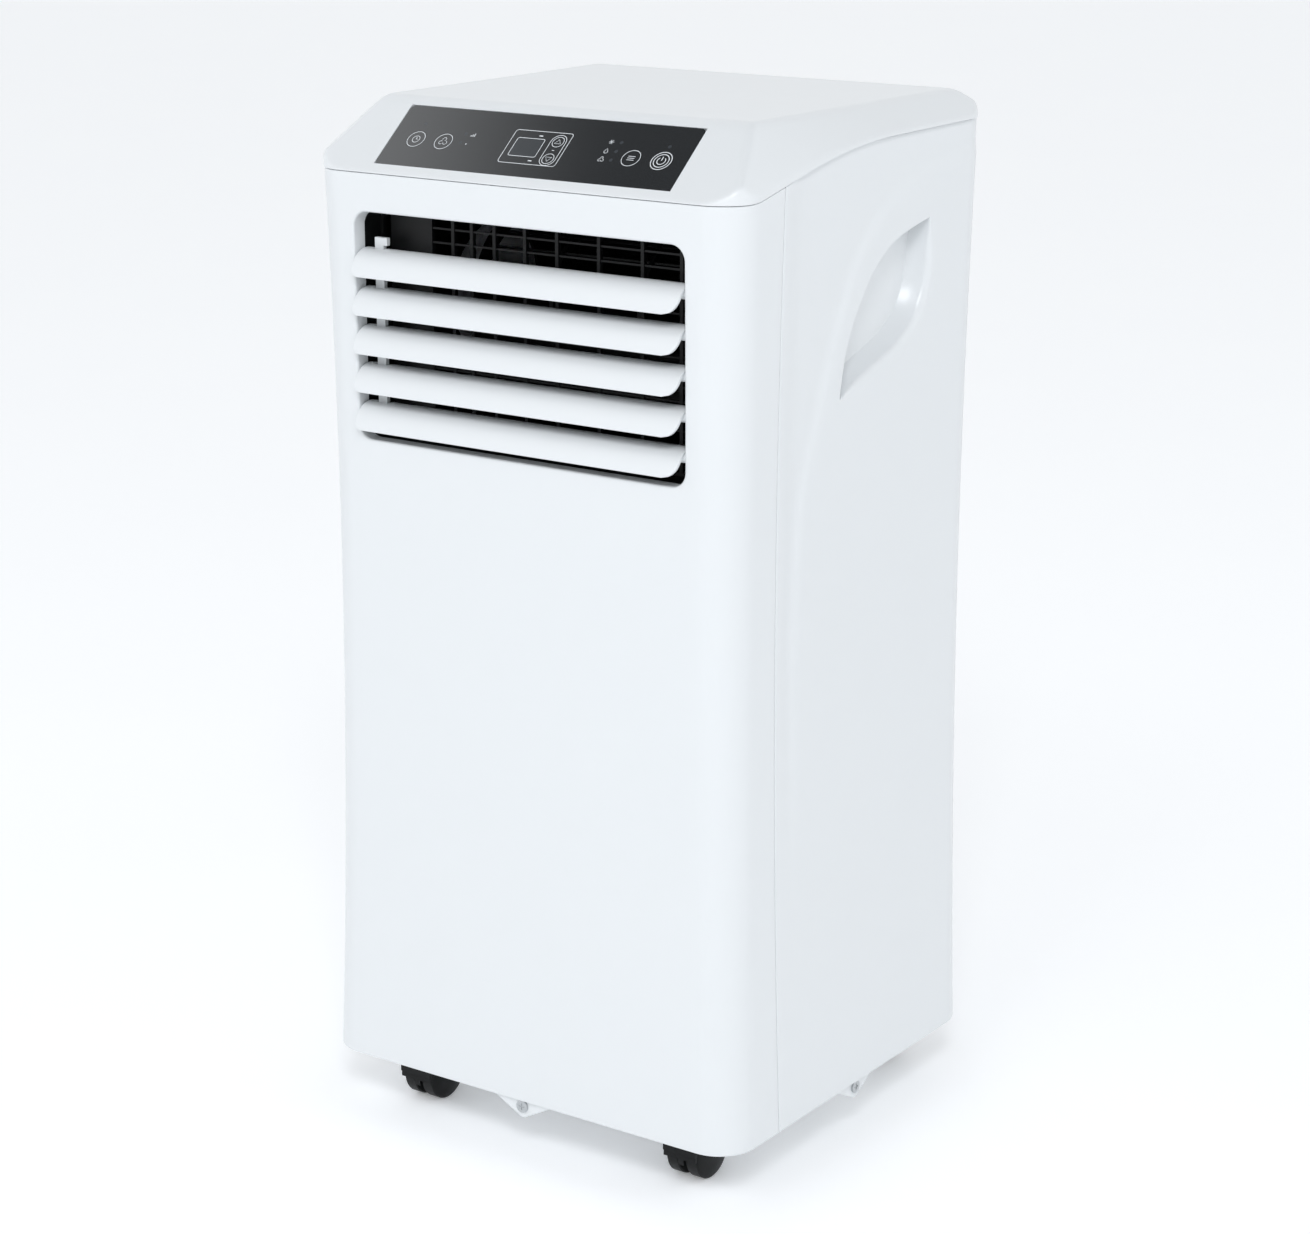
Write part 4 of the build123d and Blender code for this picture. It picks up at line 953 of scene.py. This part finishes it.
@dataclass
class TopCover:
    """Top cover: a flat top inside four slopes, with a pocket for the control strip."""

    form: HousingForm
    top: float = 691.0
    front_slope: float = 39.8
    flat_front: float = -101.4
    flat_back: float = 139.0
    half_front: float = 142.4
    half_back: float = 146.0
    back_drop: float = 16.0
    margins: Flat = (4.5, 1.5)
    crease: float = 4.0
    side_crease: float = 6.4
    rim: float = 2.4
    rim_least: float = 0.15
    side_wall: float = 2.5
    wall: float = 3.5
    ring_counts: Counts = (66, 62, 14)
    base_rise: float = 12.0
    rim_insets: tuple[float, ...] = (0.0, 0.15, 0.5, 1.0, 1.7)
    fine_start: float = 2.8
    fine_step: float = 1.6
    fine_rings: int = 38
    coarse_insets: tuple[float, ...] = (66.0, 74.0, 84.0, 96.0, 110.0, 126.0)
    pocket_gap: float = 0.2
    pocket_depth: float = 2.3
    pocket_corner: float = 4.2
    pocket_height: float = 12.0

    def height(self, x: float, y: float) -> float:
        """Height of the cover's outer face, its creases eased."""
        front = self.top + (y - self.flat_front) * math.tan(math.radians(self.front_slope))
        back = self.top - (y - self.flat_back) * self.back_drop / (self.form.back_high - self.flat_back)
        share = (y - self.flat_front) / (self.flat_back - self.flat_front)
        head = self.half_front + (self.half_back - self.half_front) * share
        (y1, _), (y2, _) = self.form.seam_bends
        along = min(max((y - y1) / (y2 - y1), 0), 1)
        margin = self.margins[0] + (self.margins[1] - self.margins[0]) * along
        foot_height = self.form.seam(y) + margin
        foot = self.form.half_width(foot_height)
        side = foot_height + (foot - abs(x)) / (foot - head) * (self.top - foot_height)
        low = soft_min(front, side, self.side_crease)
        low = soft_min(low, back, self.crease)
        return soft_min(low, self.top, self.crease)

    def ring(self, inset: float, z: float) -> list[Flat]:
        """Outline of the body moved in, at a height."""
        radii = [max(r - inset, 1.0) for r in (self.form.front_radius, self.form.back_radius)]
        wide = self.form.half_width(z) - inset
        return rounded_rectangle(
            (-wide, wide), (-self.form.front(z) + inset, self.form.back(z) - inset), tuple(radii),
            self.ring_counts,
        )

    def level(self, inset: float, inner: bool) -> list[Point]:
        """Ring of the cover's skin at a distance inside its outline.

        Args:
            inset: Distance inside the outline.
            inner: Whether the ring lies on the inner face.

        Returns:
            The ring, its outer edge rounded.
        """
        base = self.form.seam_front + self.base_rise
        points = []
        for (x0, y0), (x, y) in zip(self.ring(0, base), self.ring(inset, base)):
            foot = self.form.seam(y0) + self.form.gap / 2
            z = self.height(x, y)
            if inner:
                z = max(z - self.wall, foot + 2 * self.rim_least)
            elif inset < self.rim:
                reach = min(self.rim, self.height(x0, y0) - foot - self.rim_least)
                z -= reach * (1 - math.sqrt(1 - (1 - inset / self.rim) ** 2))
            points.append((x, y, z))
        return points

    def foot(self, inset: float) -> list[Point]:
        """Ring of the cover's lower edge at a distance inside its outline."""
        base = self.form.seam_front + self.base_rise
        feet = [self.form.seam(y) + self.form.gap / 2 for _, y in self.ring(0, base)]
        return [(x, y, z) for (x, y), z in zip(self.ring(inset, base), feet)]

    def build(self) -> bpy.types.Object:
        """Builds the cover with its pocket."""
        fine = [self.fine_start + self.fine_step * i for i in range(self.fine_rings)]
        inner = [self.side_wall, *fine[1:], *self.coarse_insets]
        outer = [*self.rim_insets, *fine, *self.coarse_insets]
        rings = [self.level(inset, True) for inset in reversed(inner)]
        rings += [self.foot(self.side_wall), self.foot(0.0)]
        rings += [self.level(inset, False) for inset in outer]
        piece = ring_stack("top_cover_moulding", rings)
        combine(piece, self.pocket(), "DIFFERENCE")
        return piece

    def pocket(self) -> bpy.types.Object:
        """Block that hollows the control strip's pocket."""
        strip = StripPlane()
        half_wide, half_high = strip.half_size()
        gap = self.pocket_gap
        solid = block("strip_pocket", (-half_wide - gap, -half_high - gap, -self.pocket_depth),
                      (half_wide + gap, half_high + gap, self.pocket_height), self.pocket_corner, axis=2)
        solid.data.transform(strip.matrix())
        return solid


# ---------------------------------------------------------------- control strip
@dataclass(frozen=True)
class StripPlane:
    """Plane of the control strip: across, up the slope, and out of it."""

    slope: float = 39.8
    thickness: float = 2.0

    def half_size(self) -> Flat:
        """Half of the strip's width and of its height along the slope."""
        low, high = (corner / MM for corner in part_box("control_fascia"))
        lean = math.radians(self.slope)
        return (high.x - low.x) / 2, ((high.z - low.z) - self.thickness * math.cos(lean)) / math.sin(lean) / 2

    def matrix(self) -> Matrix:
        """Turns millimetres on the strip's face, taken as metres times MM, to their place."""
        low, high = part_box("control_fascia")
        lean = math.radians(self.slope)
        out = Vector((0, -math.sin(lean), math.cos(lean)))
        up = Vector((0, math.cos(lean), math.sin(lean)))
        face = (low + high) / 2 + out * self.thickness / 2 * MM
        turned = Matrix((Vector((1, 0, 0)), up, out)).transposed().to_4x4()
        return Matrix.Translation(face) @ turned


@dataclass
class ControlPrint:
    """White lines printed on the control strip and on its keys."""

    line: float = 0.42
    fine: float = 0.34
    sign: float = 0.38
    bold: float = 0.55
    bar: float = 0.6
    lights_x: float = 52.2
    bars_x: float = -53.4
    raised: float = 0.03
    thick: float = 0.05
    keys: dict[str, Flat] = field(default_factory=lambda: {
        "timer": (-93.7, -2.6), "speed": (-71.7, -2.6), "up": (13.9, 5.1), "down": (13.9, -9.0),
        "mode": (72.8, -2.6), "power": (95.1, -2.6),
    })
    key_ring: float = 6.4
    arrow_ring: float = 4.1
    display: tuple[Flat, Flat] = ((-22.0, 22.0), (-15.0, 12.7))
    window: tuple[Flat, Flat] = ((-17.4, 3.6), (-8.9, 6.3))

    def stroke(
        self, path: Sequence[Flat], closed: bool = False, width: float | None = None
    ) -> bpy.types.Object:
        """Printed line along a path on the strip.

        Args:
            path: Points across and up the strip.
            closed: Whether the line joins its own start.
            width: Width of the line, if not the usual one.

        Returns:
            The line, on the strip's face.
        """
        half = (width or self.line) / 2
        count = len(path)
        steps = count if closed else count - 1

        def place(column: int, row: int) -> Point:
            """Point on one edge of the line."""
            here = path[column % count]
            before = path[(column - 1) % count] if closed or column else here
            after = path[(column + 1) % count] if closed or column < count - 1 else here
            dx, dy = after[0] - before[0], after[1] - before[1]
            length = math.hypot(dx, dy) or 1.0
            side = half if row else -half
            return (here[0] - dy / length * side, here[1] + dx / length * side, self.raised)

        piece = woven_grid("printed_line", steps, 1, place)
        edit(piece, lambda: bpy.ops.mesh.remove_doubles(threshold=CLOSE))
        facing = sum(f.normal.z for f in piece.data.polygons)
        if facing < 0:
            edit(piece, bpy.ops.mesh.flip_normals)
        finish_with(piece, "SOLIDIFY", thickness=self.thick * MM, offset=-1.0)
        piece.data.transform(StripPlane().matrix())
        return piece

    def ring(self, centre: Flat, radius: float, width: float | None = None) -> bpy.types.Object:
        """Printed circle."""
        return self.stroke(arc_of(centre, radius, 0, 360, 61)[:-1], closed=True, width=width)

    def box_line(self, x: Flat, y: Flat, radius: float) -> bpy.types.Object:
        """Printed rounded box."""
        return self.stroke(rounded_rectangle(x, y, (radius, radius), (4, 4, 8)), closed=True)

    def blades(self, centre: Flat, size: float) -> list[bpy.types.Object]:
        """Printed three-blade fan sign."""
        made = []
        for turn in (90, 210, 330):
            tip = arc_of(centre, size * 0.55, turn, turn, 2)[0]
            made.append(self.stroke(arc_of(tip, size * 0.42, turn - 150, turn + 110, 14), width=self.fine))
        return made

    def key_marks(self) -> dict[str, list[bpy.types.Object]]:
        """Marks on each key: a ring and a plain sign for what it does."""
        marks = {name: [self.ring(place, self.key_ring)] for name, place in self.keys.items()
                 if name in ("timer", "speed", "mode")}
        x, y = self.keys["timer"]
        hands = [(x, y + 1.8), (x, y), (x + 1.4, y)]
        marks["timer"] += [self.ring((x, y), 2.7, self.sign), self.stroke(hands, width=self.sign)]
        marks["speed"] += self.blades(self.keys["speed"], 3.4)
        x, y = self.keys["mode"]
        for rise in (-1.5, 0, 1.5):
            marks["mode"].append(self.stroke([(x - 2.6, y + rise), (x + 2.6, y + rise)], width=0.4))
        x, y = self.keys["power"]
        marks["power"] = [
            self.ring((x, y), 7.1, self.bold), self.ring((x, y), 5.2, self.bold),
            self.stroke(arc_of((x, y), 2.9, 130, 410, 30), width=self.bold),
            self.stroke([(x, y + 0.2), (x, y + 3.4)], width=0.6),
        ]
        for name, way in (("up", 1), ("down", -1)):
            x, y = self.keys[name]
            corners = [(x - 2.3, y - way * 1.3), (x + 2.3, y - way * 1.3), (x, y + way * 2.2)]
            marks[name] = [self.ring((x, y), self.arrow_ring), self.stroke(corners, closed=True, width=0.45)]
        return marks

    def strip_marks(self) -> list[bpy.types.Object]:
        """Marks on the strip itself: the display's frame, and plain signs beside the lights."""
        x, y = self.keys["up"][0], (self.keys["down"][1], self.keys["up"][1])
        made = [self.box_line(*self.display, 2.0), self.box_line(*self.window, 1.4)]
        made.append(self.box_line((x - 5.7, x + 5.7), (y[0] - 5.7, y[1] + 5.7), 5.6))
        for bar, height in enumerate((1.0, 1.8, 2.6)):
            left = self.bars_x + bar * 1.3
            made.append(self.stroke([(left, 3.5), (left, 3.5 + height)], width=self.bar))
        made.append(self.stroke([(self.bars_x, -3.6), (self.bars_x, -2.6)], width=self.bar))
        right = self.lights_x
        made += [self.stroke(arc_of((right, 9.0), 1.9, a, a + 180, 2), width=self.fine) for a in (0, 60, 120)]
        drop = [(right, 3.6), *arc_of((right, 0.9), 1.3, 35, -215, 14)]
        made.append(self.stroke(drop, closed=True, width=self.fine))
        made += self.blades((right, -5.6), 2.2)
        for px, py in ((-1.2, 8.9), (1.6, -12.0)):
            made.append(self.stroke([(px - 1.4, py), (px + 1.4, py)], width=0.8))
        made.append(self.stroke([(x - 0.9, -2.0), (x + 0.9, -2.0)], width=0.5))
        return made

    def build(self) -> None:
        """Builds all the print, each key's on its own body."""
        strip = joined(self.strip_marks(), "strip_print")
        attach(strip, "housing")
        Finishes.PRINT_INK.value.dress(strip)
        for name, marks in self.key_marks().items():
            piece = joined(marks, f"key_print_{name}")
            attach(piece, f"key_{name}")
            Finishes.PRINT_INK.value.dress(piece)
        LOG.info("control print on the strip and %d keys", len(self.keys))


# ---------------------------------------------------------------- louvres
@dataclass
class LouvreBlades:
    """Curved blades of the air outlet, all of one shape."""

    joints: list[dict]
    half: float = 126.0
    thick: float = 2.0
    edge: float = 0.45
    tip: Flat = (-11.5, -11.5)
    crown: Flat = (-5.2, 2.2)
    rear: Flat = (9.5, 4.8)
    right_corner: float = 11.0
    left_corner: float = 4.0
    boss: float = 3.2
    boss_reach: float = 127.3
    pin: float = 1.5
    pin_reach: float = 129.3
    web_from: float = 122.0
    web_to: float = 125.6
    notch: Flat = (-122.5, -109.5)
    notch_back: float = 2.0
    link_offset: float = 8.5
    link_pin: float = 0.9
    columns: int = 60
    rows: int = 26

    def limit(self, side: int, along: float) -> float:
        """Half of the blade's length on one side, at a distance along its arc from the tip."""
        radius = self.right_corner if side > 0 else self.left_corner
        if along >= radius:
            return self.half
        return self.half - radius + math.sqrt(radius**2 - (radius - along) ** 2)

    def model(self) -> bpy.types.Object:
        """Models one blade with its pivot at the origin."""
        centre, radius = circle_through(self.tip, self.crown, self.rear)
        start, end = (math.atan2(p[1] - centre[1], p[0] - centre[0]) for p in (self.tip, self.rear))
        if start < end:
            start += 2 * math.pi

        def place(column: int, row: int) -> Point:
            """Point of the blade's outer face."""
            angle = start + (end - start) * row / self.rows
            along = radius * abs(angle - start)
            left, right = -self.limit(-1, along), self.limit(1, along)
            share = 0.5 - 0.5 * math.cos(math.pi * column / self.columns)
            x = left + (right - left) * share
            return (x, centre[0] + radius * math.cos(angle), centre[1] + radius * math.sin(angle))

        blade = woven_grid("louvre_model", self.columns, self.rows, place)
        face_from(blade, (0, *centre))
        thicken(blade, self.thick)
        round_edges(blade, self.edge, 50.0)
        cutter = block("link_notch", (self.notch[0], self.notch_back, -6), (self.notch[1], 30, 30))
        combine(blade, cutter, "DIFFERENCE")
        parts = [blade]
        for side in (-1, 1):
            inner, outer = side * (self.half - 4), side * self.boss_reach
            parts.append(barrel("boss", (inner, 0, 0), (outer, 0, 0), self.boss, 32, 0.5))
            parts.append(barrel("pin", (outer, 0, 0), (side * self.pin_reach, 0, 0), self.pin, 24))
            near, far = sorted((side * self.web_from, side * self.web_to))
            parts.append(block("boss_web", (near, -6.5, -1.2), (far, 0, 1.2), 0.5, axis=0))
        face, offset = self.notch[1], self.link_offset
        fin = block("link_fin", (face, -5, -2.2), (face + 1.6, offset + 2, 2.0), 0.8, axis=0)
        pin = barrel("link_pin", (face, offset, 0), (self.notch[0] + 1.5, offset, 0), self.link_pin, 20)
        return joined([*parts, fin, pin], "louvre_model")

    def build(self) -> None:
        """Builds every blade as a copy of the model at its own pivot."""
        model = self.model()
        pivots = {j["child"]: j["pos_m"] for j in self.joints if j["child"].startswith("blade_")}
        for body, pivot in sorted(pivots.items()):
            piece = model.copy()
            piece.data = model.data.copy()
            bpy.context.scene.collection.objects.link(piece)
            piece.name = piece.data.name = f"{body}_moulding"
            piece.data.transform(Matrix.Translation((0, pivot[1], pivot[2])))
            soften(piece)
            Finishes.WHITE_ABS.value.dress(piece)
            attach(piece, body)
            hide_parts(f"louvre_{body}")
        bpy.data.objects.remove(model)
        LOG.info("%d louvre blades", len(pivots))


# ---------------------------------------------------------------- studio
@dataclass
class Studio:
    """Pale floor, soft lights and the camera."""

    camera_place: Point = (1.1552, -1.6622, 0.9076)
    camera_way: Point = (-0.5491, 0.7907, -0.2708)
    lens: float = 85.15
    world_colour: str = "#f9fbfd"
    world_strength: float = 1.34
    overhead_heights: Flat = (0.765, 0.818)
    overhead_share: float = 0.15
    side_shares: Flat = (1.0, 0.93)
    depth_shares: Flat = (0.97, 0.82)
    floor_size: float = 60.0
    floor_glow: float = 0.16
    floor_colour: str = "#fbfcfd"
    floor_shade: str = "#f9fafc"
    lamps: tuple[tuple[str, Point, Point, Flat, float, str], ...] = (
        ("key_above", (0.3, -2.7, 3.0), (0, 0, 0.5), (1.0, 0.8), 6, "#fdfdff"),
        ("side_key", (1.9, -2.7, 3.0), (0.15, 0, 0.4), (0.9, 0.9), 42, "#fafcff"),
    )

    def camera(self) -> None:
        """Adds the camera."""
        camera = bpy.data.objects.new("studio_camera", bpy.data.cameras.new("studio_camera"))
        bpy.context.scene.collection.objects.link(camera)
        camera.location = self.camera_place
        camera.rotation_euler = Vector(self.camera_way).to_track_quat("-Z", "Y").to_euler()
        camera.data.sensor_fit = "HORIZONTAL"
        camera.data.sensor_width = 36.0
        camera.data.lens = self.lens
        camera.data.clip_end = 200
        bpy.context.scene.camera = camera

    def floor(self) -> None:
        """Adds the floor."""
        deselect_all()
        bpy.ops.mesh.primitive_plane_add(size=self.floor_size)
        floor = named("studio_floor")
        material = bpy.data.materials.new("studio_floor_paper")
        material.use_nodes = True
        tree = material.node_tree
        shader = tree.nodes["Principled BSDF"]
        place = add_node(tree, "ShaderNodeTexCoord").outputs["Object"]
        noise = add_node(tree, "ShaderNodeTexNoise", {"Vector": place, "Scale": 3.0}).outputs["Fac"]
        paper = linear(self.floor_colour)
        tree.links.new(mixed(tree, noise, paper, linear(self.floor_shade)), shader.inputs["Base Color"])
        for socket, value in (("Roughness", 0.9), ("Specular IOR Level", 0.1), ("Emission Color", paper),
                              ("Emission Strength", self.floor_glow)):
            shader.inputs[socket].default_value = value
        floor.data.materials.append(material)

    def light(self, name: str, place: Point, target: Point, size: Flat, power: float, colour: str) -> None:
        """Adds one soft light.

        Args:
            name: The light's name.
            place: Where it hangs, in metres.
            target: What it faces.
            size: Its width and its height.
            power: Its power in watts.
            colour: Its colour, as six hex digits after a hash sign.
        """
        lamp = bpy.data.lights.new(name, "AREA")
        lamp.shape = "RECTANGLE"
        lamp.size, lamp.size_y = size
        lamp.energy = power
        lamp.color = linear(colour)[:3]
        holder = bpy.data.objects.new(name, lamp)
        bpy.context.scene.collection.objects.link(holder)
        holder.location = place
        holder.rotation_euler = (Vector(target) - Vector(place)).to_track_quat("-Z", "Y").to_euler()

    def build(self) -> None:
        """Sets up the whole studio."""
        self.camera()
        self.floor()
        world = bpy.data.worlds.new("studio_world")
        bpy.context.scene.world = world
        world.use_nodes = True
        tree = world.node_tree
        background = tree.nodes["Background"]
        background.inputs["Color"].default_value = linear(self.world_colour)
        way = add_node(
            tree, "ShaderNodeSeparateXYZ", {0: add_node(tree, "ShaderNodeTexCoord").outputs["Generated"]}
        ).outputs
        above = ramp(tree, way["Z"], self.overhead_heights, (1.0, self.overhead_share), "SMOOTHSTEP")
        sides = tuple(share * self.world_strength for share in self.side_shares)
        across = ramp(tree, way["X"], (-1.0, 1.0), sides)
        along = ramp(tree, way["Y"], (-1.0, 1.0), self.depth_shares)
        strength = math_of(tree, "MULTIPLY", above, math_of(tree, "MULTIPLY", across, along))
        tree.links.new(strength, background.inputs["Strength"])
        for lamp in self.lamps:
            self.light(*lamp)
        bpy.context.scene.view_settings.view_transform = "Standard"


# ---------------------------------------------------------------- assembly
def dress_frame(frame: dict) -> None:
    """Gives every CAD node the finish of its material slot.
    """
    slots = {part["node"]: part["material_slot"] for part in frame["record"]["subparts"]}
    for name, node in frame["nodes"].items():
        SLOT_FINISHES[slots[name]].value.dress(node)


def main() -> None:
    """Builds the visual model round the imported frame."""
    logging.basicConfig(level=logging.INFO, format="%(name)s: %(message)s")
    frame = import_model()
    deselect_all()
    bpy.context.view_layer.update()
    Studio().build()
    dress_frame(frame)
    form = HousingForm()
    for maker, node in ((FrontPanel(form), "front_panel"), (RearCasing(form), "rear_casing"),
                        (TopCover(form), "top_cover")):
        piece = soften(maker.build())
        Finishes.WHITE_ABS.value.dress(piece)
        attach(piece, "housing")
        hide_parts(node)
        LOG.info("%s has %d faces", piece.name, len(piece.data.polygons))
    LouvreBlades(frame["joints"]).build()
    ControlPrint().build()


if __name__ == "__main__":
    main()
